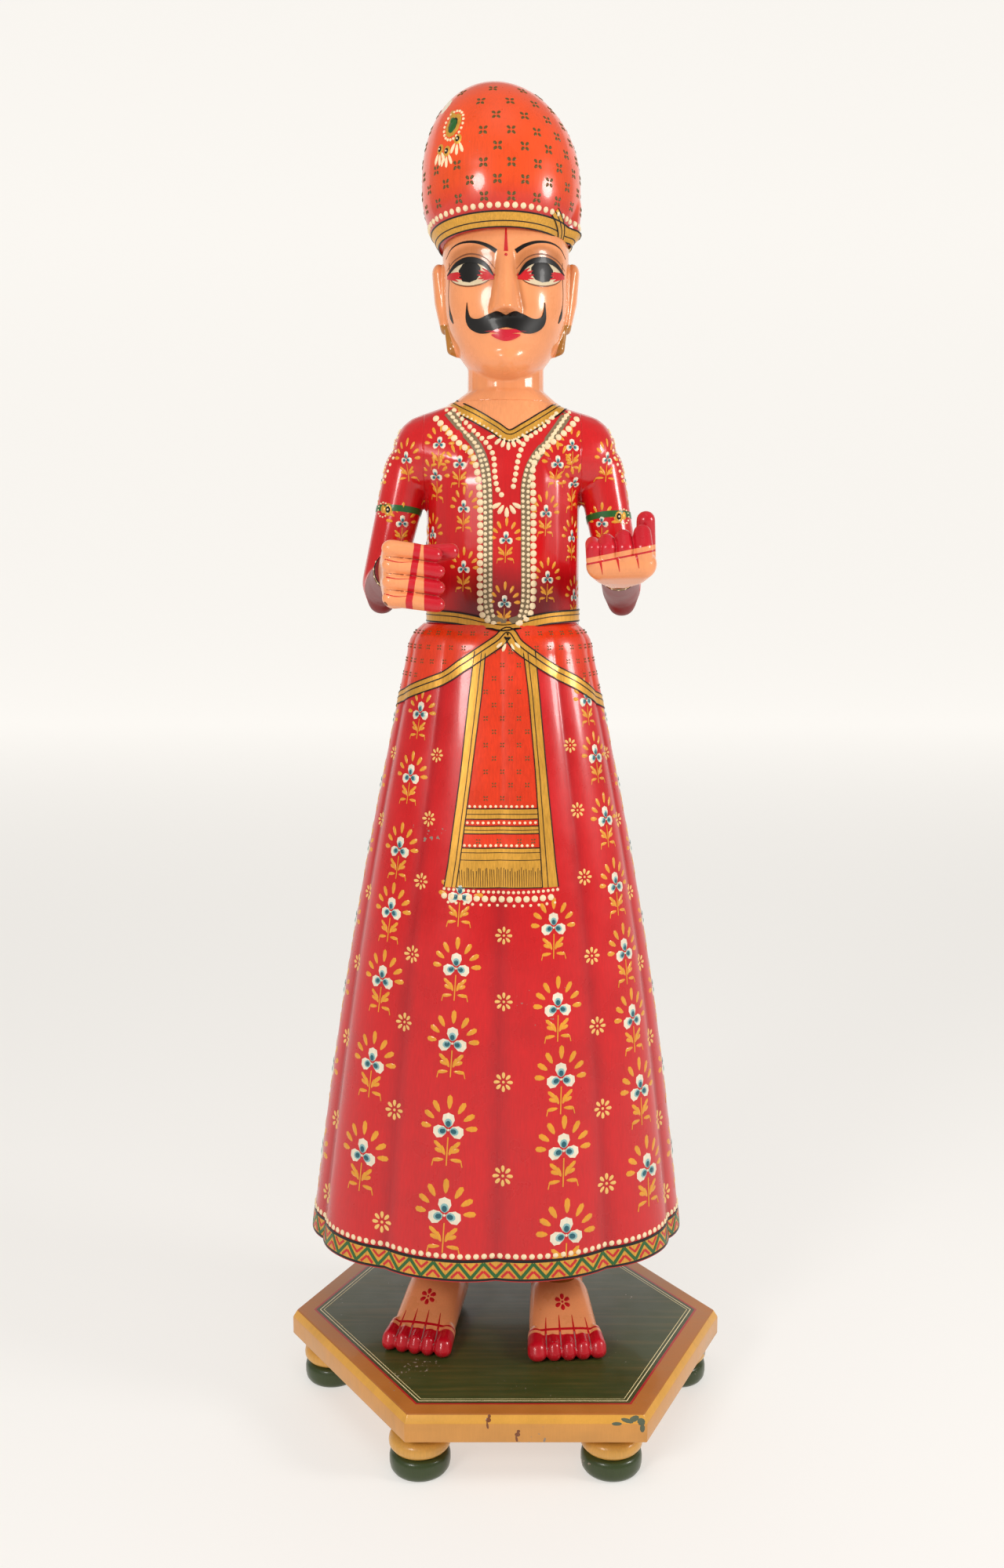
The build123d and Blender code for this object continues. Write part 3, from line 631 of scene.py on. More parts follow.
def make_upper_body():
    """Torso and arms sanded as one, then sawn apart at the glue joints."""
    lumps = [hull((-2.5, 0, 728, 69, 49, 4), (-2.5, 0, 800, 68.5, 48, 4), (-2.5, 0, 862, 68.5, 50, 6),
                  (0, 2, 896, 66, 46, 12), (0, 2, 922, 52, 38, 6)),
             hull((-1, 2, 905, 66, 42, 4), (-2, 2, 929, 51, 38, 4), (-1, 2, 940, 38, 36, 3)),
             hull((0, 2, 900, 35, 34, 3), (0, 2, 950, 34, 33.5, 3))]
    for side, (elbow, wrist) in ARM_JOINTS.items():
        sign = -1 if side == "right" else 1
        shoulder_x = sign * 67 + (-2 if side == "right" else 0)
        lumps.append(hull((shoulder_x, 1, 887, 32, 31, 35), (sign * 43 - 3, 2, 924, 14, 29, 5),
                          (sign * 40, 0, 880, 20, 42, 30)))
        lumps.append(hull((sign * 84 + (-3 if side == "right" else 0), 1, 874, 21.5),
                          (elbow[0], elbow[1] - 4, elbow[2] + 8, 18)))
        lumps.append(hull((elbow[0], elbow[1] - 4, elbow[2] + 6, 18),
                          (elbow[0] + sign * 1, elbow[1] + 3, elbow[2] - 8, 13)))
        lumps.append(hull((elbow[0], elbow[1] - 2, elbow[2] + 3, 17), (*wrist, 16.5),
                          (wrist[0], wrist[1] - 12, wrist[2] + 3, 16)))
    body = carve(lumps, "upper_body", 1.9, 7)
    torso = copy_of(body, "torso_carved")
    saw(torso, (SEAT_X, 0, 0), (1, 0, 0))
    saw(torso, (-SEAT_X - 6 * MM, 0, 0), (-1, 0, 0))
    saw(torso, (0, 0, WAIST), (0, 0, -1))
    saw(torso, (0, 0, NECK), (0, 0, 1))
    pieces = {"torso": torso}
    for side, (elbow, wrist) in ARM_JOINTS.items():
        sign = -1 if side == "right" else 1
        start, end = Vector(elbow) * MM, Vector(wrist) * MM
        along = (end - start).normalized()
        mitre = (along + Vector((0, 0, -1))).normalized()
        joint = start + along * 10 * MM
        arm = copy_of(body, side + "_arm")
        saw(arm, (SEAT_X if sign > 0 else -SEAT_X - 6 * MM, 0, 0), (-sign, 0, 0))
        saw(arm, end, along)
        forearm = copy_of(arm, side + "_forearm_carved")
        saw(forearm, joint, -mitre)
        saw(arm, joint, mitre)
        arm.name = side + "_upper_arm_carved"
        pieces[side + "_upper_arm"] = arm
        pieces[side + "_forearm"] = forearm
    bpy.data.objects.remove(body)
    return pieces


# ---- Hands -----------------------------------------------------------------------------
def make_right_hand():
    """A loose fist: fingers stacked across the front, pointing to the middle, thumb above."""
    lumps = [hull((-93, -74, 784, 16.5), (-94, -96, 797, 10), (-94, -96, 768, 10),
                  (-93, -118, 801, 9), (-93, -118, 762, 8.5), (-80, -112, 798, 8), (-80, -112, 762, 8))]
    for finger in range(4):
        level = 762.3 + 13.5 * finger
        lumps.append(hull((-94.6, -121.5, level, 7.6, 7.8, 7.1), (-76, -122.5, level - 2, 7.1, 7.6, 6.6),
                          (-58.4 + (-1 if finger == 3 else 1), -121, level - 5.2, 7.4, 7.2, 6.4)))
    lumps.append(hull((-84, -102, 797, 8), (-60, -108, 800, 6.6), (-46, -108, 800.5, 7.0)))
    return carve(lumps, "right_hand_carved", 0.75, 3)


def make_left_hand():
    """A cupped palm held out, fingers curled up at its front, the thumb standing behind."""
    lumps = [hull((96, -74, 785, 16.5), (84, -100, 786, 13), (108, -100, 786, 13),
                  (78, -116, 789, 12), (112, -116, 790, 12.5))]
    for x, top, radius in ((71.6, 813, 6.4), (83.2, 815.5, 7.0), (97.0, 819, 7.3), (112.4, 823, 8.0)):
        lumps.append(hull((x + 0.5, -121, 793, radius, 7.5, radius), (x, -124, 803, radius, 7, radius),
                          (x - 0.6, -118, top - radius, radius * 0.93, 6.8, radius * 0.93)))
    lumps.append(hull((117, -98, 796, 8.5), (117, -101, 812, 6.6), (116, -104, 826, 7.8)))
    return carve(lumps, "left_hand_carved", 0.75, 3)


# ---- Feet ------------------------------------------------------------------------------
def make_leg(name, heel, width, splay, reach):
    """Carved foot with five toes, ankle and trouser cuff, and the shank up into the skirt."""
    floor = PLINTH_TOP / MM
    half = width / 2
    front = -reach + 9
    lumps = [hull((0, 4, floor + 20, 25, 26, 20), (0, -22, floor + 26, 28, 18, 23),
                  (0, -52, floor + 15, half - 5, 16, 14), (0, front + 11, floor + 9, half - 4, 12, 9),
                  (0, front + 8, floor + 5, half - 4, 10, 5)),
             hull((0, 0, floor + 20, 25, 25, 20), (0, 2, floor + 62, 25.5, 24, 8)),
             hull((0, 2, floor + 40, 25, 24, 20), (0, 2, floor + 100, 25, 25, 6))]
    toes = ((-0.395, 0.975, 0.112), (-0.205, 0.985, 0.100), (-0.02, 0.99, 0.098), (0.163, 0.99, 0.098),
            (0.372, 1.0, 0.128))
    inner = 1 if name.startswith("right") else -1
    for across, out, girth in toes:
        x = across * width * inner
        radius = girth * width * 0.97
        tip = -(reach * out) + radius
        lumps.append(hull((x * 0.96, -68, floor + 12, radius * 0.9, 8, 9),
                          (x, tip + 2, floor + 9.5, radius, radius, 9),
                          (x, tip, floor + 7, radius, radius, 7)))
    leg = carve(lumps, name + "_carved", 0.9, 3)
    turn = Matrix.Rotation(math.radians(splay), 4, "Z")
    shift = Matrix.Translation((heel[0] * MM, heel[1] * MM, 0))
    leg.data.transform(shift @ turn)
    saw(leg, (0, 0, PLINTH_TOP), (0, 0, -1))
    return soften(leg)


# ---- Head and turban -------------------------------------------------------------------
# the turban sits on the head along a plane that rises to the front
BROW_SEAM = (0, 0, TURBAN_SEAM - 2 * MM)
SEAM_TILT = (0, 0.125, 1)


def bump(x, z, middle, spread, height):
    """A smooth swelling at a point of the face, seen from the front."""
    return height * math.exp(-((x - middle[0]) / spread[0]) ** 2 - ((z - middle[1]) / spread[1]) ** 2)


def face_relief(x, z):
    """How far the face stands forward of the plain head, in millimetres, at a point seen from the front."""
    side = abs(x)
    relief = bump(side, z, (31, 1052), (24, 7), 2.0)
    relief += bump(side, z, (31, 1041), (27, 11), -4.2)
    relief += bump(side, z, (31, 1040.5), (20, 8), 3.6)
    relief += bump(side, z, (34, 1004), (18, 18), 2.0)
    relief += bump(side, z, (0, 984), (24, 15), 5.0)
    relief += bump(side, z, (0, 962), (16, 12), 5.0)
    relief += bump(side, z, (0, 970.5), (15, 3.5), -1.6)
    top, tip = 1050, 1003
    if z < top:
        down = min((top - z) / (top - tip), 1.0)
        half = 7.0 + 6.5 * down ** 1.6
        ridge = 4.0 + 12.5 * down ** 1.15
        if z < tip:
            fall = (tip - z) / 5.0
            ridge *= max(0.0, 1 - fall ** 1.5)
        across = max(0.0, 1 - (side / half) ** 1.9)
        relief += ridge * across
    else:
        relief += 4.0 * max(0.0, 1 - (z - top) / 12) * max(0.0, 1 - (side / 7.0) ** 1.5)
    return relief


def make_head():
    """Head, ears and neck from one block; the face is worked forward of a plain egg."""
    middle, half = 1022.5, 77.5
    bpy.ops.object.select_all(action="DESELECT")
    bpy.ops.mesh.primitive_uv_sphere_add(segments=240, ring_count=180, radius=1)
    skull = bpy.context.object

    def shape(co):
        level = co.z
        spread = 54.5 + (36 * level ** 2 if level > 0 else 0)
        deep = 56.5 + (22 * level ** 2 if level > 0 else 0)
        x, y, z = co.x * spread, co.y * (deep if co.y < 0 else deep + 3), middle + level * half
        front = max(0.0, min(1.0, -co.y * 2.2))
        if y < 0:
            y *= 1 + 1.1 * max(0.0, -level) ** 4
        return Vector((x, y - face_relief(x, z) * front, z)) * MM

    reshape(skull, shape)
    skull.name = "lump"
    lumps = [skull, hull((0, 2, 925, 34, 33.5, 3), (0, 3, 975, 33.5, 33, 12)),
             hull((-1, 2, 925, 53, 38, 4), (-1, 2, 931, 47, 37, 3), (0, 2, 940, 35.5, 34, 3))]
    for sign in (-1, 1):
        lumps.append(hull((sign * 59, 9, 1043, 6.2, 13, 9), (sign * 58, 9, 1020, 5.2, 11, 9),
                          (sign * 54, 5, 998, 4.2, 8, 7)))
        lumps.append(hull((sign * 51, -3, 994, 3), (sign * 47, -5, 977, 5), (sign * 42, -4, 974, 4)))
    head = carve(lumps, "head_carved", 1.15, 2)
    saw(head, (0, 0, NECK), (0, 0, -1))
    saw(head, BROW_SEAM, SEAM_TILT)
    return soften(head)


def make_turban():
    """An egg-shaped turban, fuller at the back left where the roll ends."""
    middle = 1117
    bpy.ops.object.select_all(action="DESELECT")
    bpy.ops.mesh.primitive_uv_sphere_add(segments=128, ring_count=96, radius=1)
    egg = bpy.context.object

    def shape(co):
        lean = -6 * max(0.0, co.z) ** 1.5
        full = 1.0 + 0.07 * max(0.0, -co.z)
        return Vector((-4 + lean + co.x * 69 * full, 3 + co.y * 70 * full, middle + co.z * 83)) * MM

    reshape(egg, shape)
    lumps = [egg, hull((38, 34, 1118, 20, 30, 24), (47, 30, 1094, 17, 30, 24), (44, 26, 1072, 14, 26, 14)),
             hull((54, -2, 1096, 12, 18, 16), (52, -4, 1076, 12, 18, 12))]
    turban = carve(lumps, "turban_carved", 1.6, 4)
    saw(turban, BROW_SEAM, -Vector(SEAM_TILT))
    return soften(turban)


# ---- Plinth ----------------------------------------------------------------------------
# the hexagon leans: each millimetre back moves it this much to its right
SKEW = 0.095
PLINTH_CORNER = 208 * MM
BOARD_THICKNESS = 24.5 * MM
BEVEL_RUN, BEVEL_DROP = 4 * MM, 7.3 * MM


def make_plinth():
    """The hexagonal board with a planed bevel and slightly rubbed edges."""
    bpy.ops.object.select_all(action="DESELECT")
    bpy.ops.mesh.primitive_cylinder_add(vertices=6, radius=PLINTH_CORNER, depth=BOARD_THICKNESS,
                                        location=(0, 0, BOARD_FOOT + BOARD_THICKNESS / 2),
                                        rotation=(0, 0, math.pi / 2))
    board = freeze(bpy.context.object)
    for vertex in board.data.vertices:
        vertex.co.x -= SKEW * vertex.co.y
    bpy.ops.object.mode_set(mode="EDIT")
    bpy.ops.mesh.select_all(action="DESELECT")
    mesh = bmesh.from_edit_mesh(board.data)
    for face in mesh.faces:
        face.select = face.normal.z > 0.9
    bmesh.update_edit_mesh(board.data)
    bpy.ops.mesh.inset(thickness=BEVEL_RUN)
    bpy.ops.object.mode_set(mode="OBJECT")
    mesh = bmesh.new()
    mesh.from_mesh(board.data)
    top = max(v.co.z for v in mesh.verts)
    rim = [v for v in mesh.verts if v.co.z > top - MM and any(f.normal.z < 0.5 for f in v.link_faces)]
    for vertex in rim:
        vertex.co.z -= BEVEL_DROP
    mesh.to_mesh(board.data)
    mesh.free()
    modify(board, "BEVEL", width=0.9 * MM, segments=3, limit_method="ANGLE", angle_limit=math.radians(20))
    return soften(board, 35)


def make_bun_foot():
    """One turned foot: its outline spun about the middle."""
    outline = [(0.01, 0), (21, 0), (24.5, 1.2), (26.3, 4), (27, 8), (27, 13), (26.2, 17), (24, 19),
               (21, 19.6), (21.5, 20.6), (25, 22), (27.2, 25), (27.5, 28), (27, 31), (25, 34), (21, 35.6),
               (19.5, 36),
               (19.6, 37), (21.5, 41), (22.5, BOARD_FOOT / MM)]
    bpy.ops.object.select_all(action="DESELECT")
    bpy.ops.mesh.primitive_circle_add(vertices=len(outline) + 1, radius=1)
    foot = bpy.context.object
    points = [Vector((r * MM, 0, z * MM)) for r, z in outline] + [Vector((0.01 * MM, 0, outline[-1][1] * MM))]
    for vertex, point in zip(foot.data.vertices, points):
        vertex.co = point
    edit(foot, bpy.ops.mesh.spin, steps=64, angle=2 * math.pi, center=(0, 0, 0), axis=(0, 0, 1))
    edit(foot, bpy.ops.mesh.remove_doubles, threshold=0.02 * MM)
    return soften(face_out(foot), 60)


# ---- Materials -------------------------------------------------------------------------
def red_skirt_colour(tree, place):
    """Crimson, with painted shade darkening it down in the grooves between the flutes."""
    chart = add(tree, "UVMap", {}, uv_map="chart")
    turns = add(tree, "SeparateXYZ", [chart])
    nearest = add(tree, "Math", [turns, 0.5], operation="ADD")
    share = add(tree, "Math", [nearest], operation="FRACT")
    off = add(tree, "Math", [share, 0.5], operation="SUBTRACT")
    distance = add(tree, "Math", [off], operation="ABSOLUTE")
    # painted shade: strongest on the groove line, gone 0.13 of a flute to either side
    groove_shade = add(tree, "MapRange", {0: distance, 1: 0.0, 2: 0.13, 3: 0.4, 4: 0.0})
    return add(tree, "Mix", {0: groove_shade, 6: colour(RED), 7: colour("8A0A18")}, out=2, data_type="RGBA")


def torso_colour(tree, place):
    """Crimson bodice with bare skin above the V of the neck, and a painted shadow of the hands low on the
    belly.
    """
    x, y, z = (add(tree, "SeparateXYZ", [place], out=i) for i in range(3))
    off = add(tree, "Math", [x, 0.0025], operation="SUBTRACT")
    spread = add(tree, "Math", [off], operation="ABSOLUTE")
    slope = add(tree, "Math", [spread, 0.64], operation="MULTIPLY")
    rise = add(tree, "Math", [z, slope], operation="SUBTRACT")
    in_v = add(tree, "Math", [rise, 0.9005], operation="GREATER_THAN")
    at_front = add(tree, "Math", [y, 0.004], operation="LESS_THAN")
    front_v = add(tree, "Math", [in_v, at_front], operation="MULTIPLY")
    collar = add(tree, "Math", [z, 0.9255], operation="GREATER_THAN")
    open_neck = add(tree, "Math", [front_v, collar], operation="MAXIMUM")
    # painted shadow of the hands: it fades out upwards over 48 mm and sideways over 32 mm
    low = add(tree, "MapRange", {0: z, 1: 0.800, 2: 0.752, 3: 0.0, 4: 1.0}, interpolation_type="SMOOTHSTEP")
    middle = add(tree, "MapRange", {0: spread, 1: 0.062, 2: 0.030, 3: 0.0, 4: 1.0},
                 interpolation_type="SMOOTHSTEP")
    hand_shadow = add(tree, "Math", [low, middle], operation="MULTIPLY")
    facing = add(tree, "Math", [hand_shadow, at_front], operation="MULTIPLY")
    strength = add(tree, "Math", [facing, 0.8], operation="MULTIPLY")
    # the crimson is darkened to near black where the painted shadow of the hands lies
    cloth = add(tree, "Mix", {0: strength, 6: colour(RED), 7: colour("3C0410")}, out=2, data_type="RGBA")
    return add(tree, "Mix", {0: open_neck, 6: cloth, 7: colour(SKIN)}, out=2, data_type="RGBA")


def right_hand_colour(tree, place):
    """Skin with red finger ends and one red ring across the fingers."""
    x, y, z = (add(tree, "SeparateXYZ", [place], out=i) for i in range(3))
    lean = add(tree, "MapRange", {0: z, 1: 0.760, 2: 0.803, 3: -0.0795, 4: -0.0723})
    off = add(tree, "Math", [x, lean], operation="SUBTRACT")
    away = add(tree, "Math", [off], operation="ABSOLUTE")
    ring = add(tree, "Math", [away, 0.0028], operation="LESS_THAN")
    ends = add(tree, "Math", [x, -0.0672], operation="GREATER_THAN")
    thumb_side = add(tree, "Math", [x, -0.080], operation="GREATER_THAN")
    behind = add(tree, "Math", [y, -0.1135], operation="GREATER_THAN")
    high = add(tree, "Math", [z, 0.792], operation="GREATER_THAN")
    thumb = add(tree, "Math", [thumb_side, behind], operation="MULTIPLY")
    thumb_red = add(tree, "Math", [thumb, high], operation="MULTIPLY")
    fingers = add(tree, "Math", [ring, ends], operation="MAXIMUM")
    red = add(tree, "Math", [fingers, thumb_red], operation="MAXIMUM")
    return add(tree, "Mix", {0: red, 6: colour(SKIN), 7: colour("C81426")}, out=2, data_type="RGBA")


def left_hand_colour(tree, place):
    """Skin with red fingers above a slanting edge and one thin red line under it."""
    x, y, z = (add(tree, "SeparateXYZ", [place], out=i) for i in range(3))
    edge = add(tree, "MapRange", {0: x, 1: 0.070, 2: 0.120, 3: 0.7955, 4: 0.8055}, clamp=False)
    rise = add(tree, "Math", [z, edge], operation="SUBTRACT")
    fingers = add(tree, "Math", [rise, 0.0], operation="GREATER_THAN")
    below = add(tree, "Math", [rise, 0.0048], operation="ADD")
    away = add(tree, "Math", [below], operation="ABSOLUTE")
    thin = add(tree, "Math", [away, 0.0008], operation="LESS_THAN")
    red = add(tree, "Math", [fingers, thin], operation="MAXIMUM")
    facing = add(tree, "Math", [y, -0.088], operation="LESS_THAN")
    shown = add(tree, "Math", [red, facing], operation="MULTIPLY")
    return add(tree, "Mix", {0: shown, 6: colour(SKIN), 7: colour("C81426")}, out=2, data_type="RGBA")


def head_colour(tree, place):
    """Skin with painted brown shade in the eye sockets and down the sides of the nose, and gilt ear drops."""
    x, y, z = (add(tree, "SeparateXYZ", [place], out=i) for i in range(3))
    side = add(tree, "Math", [x], operation="ABSOLUTE")
    # painted shade in the eye socket: soft brown over an oval 54 by 42 mm, only its upper part
    out = add(tree, "MapRange", {0: side, 1: 0.004, 2: 0.058, 3: -1.0, 4: 1.0}, clamp=False)
    up = add(tree, "MapRange", {0: z, 1: 1.017, 2: 1.059, 3: -1.0, 4: 1.0}, clamp=False)
    out_2 = add(tree, "Math", [out, out], operation="MULTIPLY")
    up_2 = add(tree, "Math", [up, up], operation="MULTIPLY")
    reach = add(tree, "Math", [out_2, up_2], operation="ADD")
    oval = add(tree, "MapRange", {0: reach, 1: 1.05, 2: 0.55, 3: 0.0, 4: 1.0},
               interpolation_type="SMOOTHSTEP")
    above = add(tree, "MapRange", {0: z, 1: 1.030, 2: 1.042, 3: 0.0, 4: 1.0}, interpolation_type="SMOOTHSTEP")
    at_front = add(tree, "MapRange", {0: y, 1: -0.020, 2: -0.034, 3: 0.0, 4: 1.0})
    socket = add(tree, "Math", [oval, above], operation="MULTIPLY")
    # painted shade down each side of the nose: a soft brown stroke 9 mm wide
    wing = add(tree, "MapRange", {0: z, 1: 1.004, 2: 1.040, 3: 0.0150, 4: 0.0085})
    off = add(tree, "Math", [side, wing], operation="SUBTRACT")
    apart = add(tree, "Math", [off], operation="ABSOLUTE")
    nose_shade_stroke = add(tree, "MapRange", {0: apart, 1: 0.0045, 2: 0.0, 3: 0.0, 4: 0.85},
                    interpolation_type="SMOOTHSTEP")
    low = add(tree, "MapRange", {0: z, 1: 0.999, 2: 1.006, 3: 0.0, 4: 1.0})
    high = add(tree, "MapRange", {0: z, 1: 1.050, 2: 1.036, 3: 0.0, 4: 1.0})
    span = add(tree, "Math", [low, high], operation="MULTIPLY")
    nose = add(tree, "Math", [nose_shade_stroke, span], operation="MULTIPLY")
    # both marks are painted shade, laid on the front of the face in brown at up to 65 %
    shaded = add(tree, "Math", [socket, nose], operation="MAXIMUM")
    facing = add(tree, "Math", [shaded, at_front], operation="MULTIPLY")
    strength = add(tree, "Math", [facing, 0.65], operation="MULTIPLY")
    face = add(tree, "Mix", {0: strength, 6: colour(SKIN), 7: colour("A8602E")}, out=2, data_type="RGBA")
    jaw = add(tree, "MapRange", {0: z, 1: 0.970, 2: 1.000, 3: 0.0432, 4: 0.0525})
    beyond = add(tree, "Math", [side, jaw], operation="GREATER_THAN")
    under = add(tree, "Math", [z, 0.9985], operation="LESS_THAN")
    over = add(tree, "Math", [z, 0.960], operation="GREATER_THAN")
    drop = add(tree, "Math", [beyond, under], operation="MULTIPLY")
    ear_drop = add(tree, "Math", [drop, over], operation="MULTIPLY")
    return add(tree, "Mix", {0: ear_drop, 6: face, 7: colour("B4762A")}, out=2, data_type="RGBA")


def turban_colour(tree, place):
    """Vermilion, shaded to crimson over the bottom 34 mm above the gilt band."""
    y, z = (add(tree, "SeparateXYZ", [place], out=i) for i in (1, 2))
    drift = add(tree, "Math", [y, 0.12], operation="MULTIPLY")
    level = add(tree, "Math", [z, drift], operation="ADD")
    low = add(tree, "MapRange", {0: level, 1: 1.070, 2: 1.104, 3: 0.8, 4: 0.0},
              interpolation_type="SMOOTHSTEP")
    return add(tree, "Mix", {0: low, 6: colour(ORANGE), 7: colour("BE1226")}, out=2, data_type="RGBA")


def foot_colour(heel, splay, cuff):
    """Skin with red toes, a red arc behind them and, on one foot, the ochre trouser cuff."""
    def build(tree, place):
        z = add(tree, "SeparateXYZ", [place], out=2)
        moved = add(tree, "Mapping", {0: place, 1: (-heel[0] * MM, -heel[1] * MM, 0)})
        turned = add(tree, "Mapping", {0: moved, 2: (0, 0, -math.radians(splay))})
        x, y = (add(tree, "SeparateXYZ", [turned], out=i) for i in (0, 1))
        spread = add(tree, "Math", [x, x], operation="MULTIPLY")
        bow = add(tree, "Math", [spread, 5.0], operation="MULTIPLY")
        reach = add(tree, "Math", [y, bow], operation="SUBTRACT")
        toes = add(tree, "Math", [reach, -0.0795], operation="LESS_THAN")
        away = add(tree, "Math", [reach, 0.0745], operation="ADD")
        apart = add(tree, "Math", [away], operation="ABSOLUTE")
        arc = add(tree, "Math", [apart, 0.0011], operation="LESS_THAN")
        red = add(tree, "Math", [toes, arc], operation="MAXIMUM")
        foot = add(tree, "Mix", {0: red, 6: colour(SKIN), 7: colour("C41022")}, out=2, data_type="RGBA")
        trouser = add(tree, "Math", [z, cuff], operation="GREATER_THAN")
        return add(tree, "Mix", {0: trouser, 6: foot, 7: colour(OCHRE)}, out=2, data_type="RGBA")
    return build


def plinth_colour(tree, place):
    """Green top inside cream pinstripes and a red line, ochre border, gilt bevel and tan sides."""
    x, y, z = (add(tree, "SeparateXYZ", [place], out=i) for i in range(3))
    drift = add(tree, "Math", [y, SKEW], operation="MULTIPLY")
    across = add(tree, "Math", [x, drift], operation="ADD")
    depth = add(tree, "Math", [y], operation="ABSOLUTE")
    width = add(tree, "Math", [across], operation="ABSOLUTE")
    leg = add(tree, "Math", [width, 0.8660254], operation="MULTIPLY")
    half = add(tree, "Math", [depth, 0.5], operation="MULTIPLY")
    slant = add(tree, "Math", [leg, half], operation="ADD")
    apothem = add(tree, "Math", [slant, depth], operation="MAXIMUM")
    corner = add(tree, "Math", [apothem, 0.8660254], operation="DIVIDE")
    paint = colour("3A421E")
    for start, stop, hex_code in ((0.1772, 0.1779, "E8D8A0"), (0.1805, 0.1815, "EFE0B0"),
                                  (0.1850, 0.1872, "B01A20"), (0.1872, 1.0, OCHRE)):
        beyond = add(tree, "Math", [corner, start], operation="GREATER_THAN")
        within = add(tree, "Math", [corner, stop], operation="LESS_THAN")
        band = add(tree, "Math", [beyond, within], operation="MULTIPLY")
        paint = add(tree, "Mix", {0: band, 6: paint, 7: colour(hex_code)}, out=2, data_type="RGBA")
    bevel = add(tree, "Math", [z, 0.0680], operation="LESS_THAN")
    gilt = add(tree, "Mix", {0: bevel, 6: paint, 7: colour("DDA040")}, out=2, data_type="RGBA")
    side = add(tree, "Math", [z, 0.0618], operation="LESS_THAN")
    sides = add(tree, "Mix", {0: side, 6: gilt, 7: colour("D39348")}, out=2, data_type="RGBA")
    # long streaks where the brush ran along the board, about 6 mm wide
    grain = add(tree, "Mapping", {0: place, 3: (12.0, 160.0, 60.0)})
    run = add(tree, "TexNoise", {"Vector": grain, "Scale": 1.0, "Detail": 4.0})
    rubbed = add(tree, "MapRange", {0: run, 1: 0.45, 2: 0.72, 3: 0.0, 4: 0.14})
    return add(tree, "Mix", {0: rubbed, 6: sides, 7: colour("A07840")}, out=2, data_type="RGBA")


def bun_colour(tree, place):
    """Green disc and collar, and a gilt ring between them."""
    z = add(tree, "SeparateXYZ", [place], out=2)
    above = add(tree, "Math", [z, 0.0198], operation="GREATER_THAN")
    below = add(tree, "Math", [z, 0.0362], operation="LESS_THAN")
    ring = add(tree, "Math", [above, below], operation="MULTIPLY")
    return add(tree, "Mix", {0: ring, 6: colour("35431F"), 7: colour("D8A04A")}, out=2, data_type="RGBA")


RIGHT_FOOT = ((-62, 8), -13)
LEFT_FOOT = ((50, -1), 4)

# Crimson oil paint under varnish: up-and-down brush streaks, a soft gloss and painted shade in the folds.
red_skirt = painted_wood("crimson_oil_paint_skirt", red_skirt_colour, worn=0.1)
# The same crimson, shinier, with a painted shadow of the hands darkening it towards the belt.
red_torso = painted_wood("crimson_oil_paint_bodice", torso_colour, roughness=0.2, coat=0.7)
red_arm = painted_wood("crimson_oil_paint_sleeve", only(RED), roughness=0.2, coat=0.6)
# Maroon forearms with a duller, dustier surface.
maroon_arm = painted_wood("maroon_oil_paint_forearm", only("7C1A1A"), roughness=0.42, coat=0.12)
# Vermilion oil paint: chalky with coarse streaks on the cloth, glossy and redder downwards on the turban.
orange_cloth = painted_wood("vermilion_oil_paint_cloth", only("DC3610"), streak=1.6)
orange_turban = painted_wood("vermilion_oil_paint_turban", turban_colour, coat=0.6, worn=0.1)
# Flesh-coloured oil paint: smooth and wet-looking on the face, with painted brown shade in the eye hollows
# and beside the nose.
skin_head = painted_wood("flesh_oil_paint_face", head_colour, streak=0.4, roughness=0.24, coat=0.5)
# Flesh colour with fingers and toes dipped in glossy red.
skin_right_hand = painted_wood("flesh_oil_paint_red_fingers", right_hand_colour, streak=0.5)
skin_left_hand = painted_wood("flesh_oil_paint_red_fingertips", left_hand_colour, streak=0.5)
skin_right_foot = painted_wood("flesh_oil_paint_red_toes_right", foot_colour(*RIGHT_FOOT, 9.0), streak=0.5)
skin_left_foot = painted_wood("flesh_oil_paint_red_toes_left", foot_colour(*LEFT_FOOT, 0.114), streak=0.5)
# Ochre border round a dark green field, satin, with rubbed and dusty patches.
plinth_paint = painted_wood("ochre_and_green_board_paint", plinth_colour, roughness=0.36, coat=0.25,
                            streak=0.4, worn=0.7)
# Green and gilt in turned rings, scuffed.
bun_paint = painted_wood("green_and_gilt_turned_foot", bun_colour, roughness=0.34, coat=0.3, worn=0.5)
# Bronze-powder gold: half metallic, with strong brush streaks.
gold = painted_wood("bronze_powder_gold_paint", only(GOLD), roughness=0.36, coat=0.2, metal=0.35, streak=2.2)
# Black line paint under varnish: deep, with a soft shine.
ink = painted_wood("black_line_paint", only(INK), roughness=0.38, coat=0.12, streak=0.5, bump=0.1)
# Thick cream paint in dots: matt and faintly warm.
cream = painted_wood("cream_bead_paint", only(CREAM), roughness=0.4, coat=0.2, streak=0.3)
# Thin opaque flower colours, satin: yellow leaves, pale gold stars, off-white petals with teal hearts.
leaf = painted_wood("yellow_ochre_flower_paint", only("E39A28"), roughness=0.35, coat=0.3)
pale_gold = painted_wood("pale_gold_star_paint", only("EDBE6C"), roughness=0.4, coat=0.2)
petal = painted_wood("pale_petal_paint", only("E9DEC6"), roughness=0.35, coat=0.3)
teal = painted_wood("teal_petal_eye_paint", only("1E5A66"), roughness=0.35, coat=0.3)
teal_pale = painted_wood("pale_teal_halo_paint", only("86B4B4"), roughness=0.35, coat=0.3)
# Muted olive and grey line colours, flatter than the grounds under them.
olive = painted_wood("olive_motif_paint", only("5E4A18"), roughness=0.4, coat=0.2)
grey_ground = painted_wood("grey_olive_ground_paint", only("7E6C50"), roughness=0.4, coat=0.2)
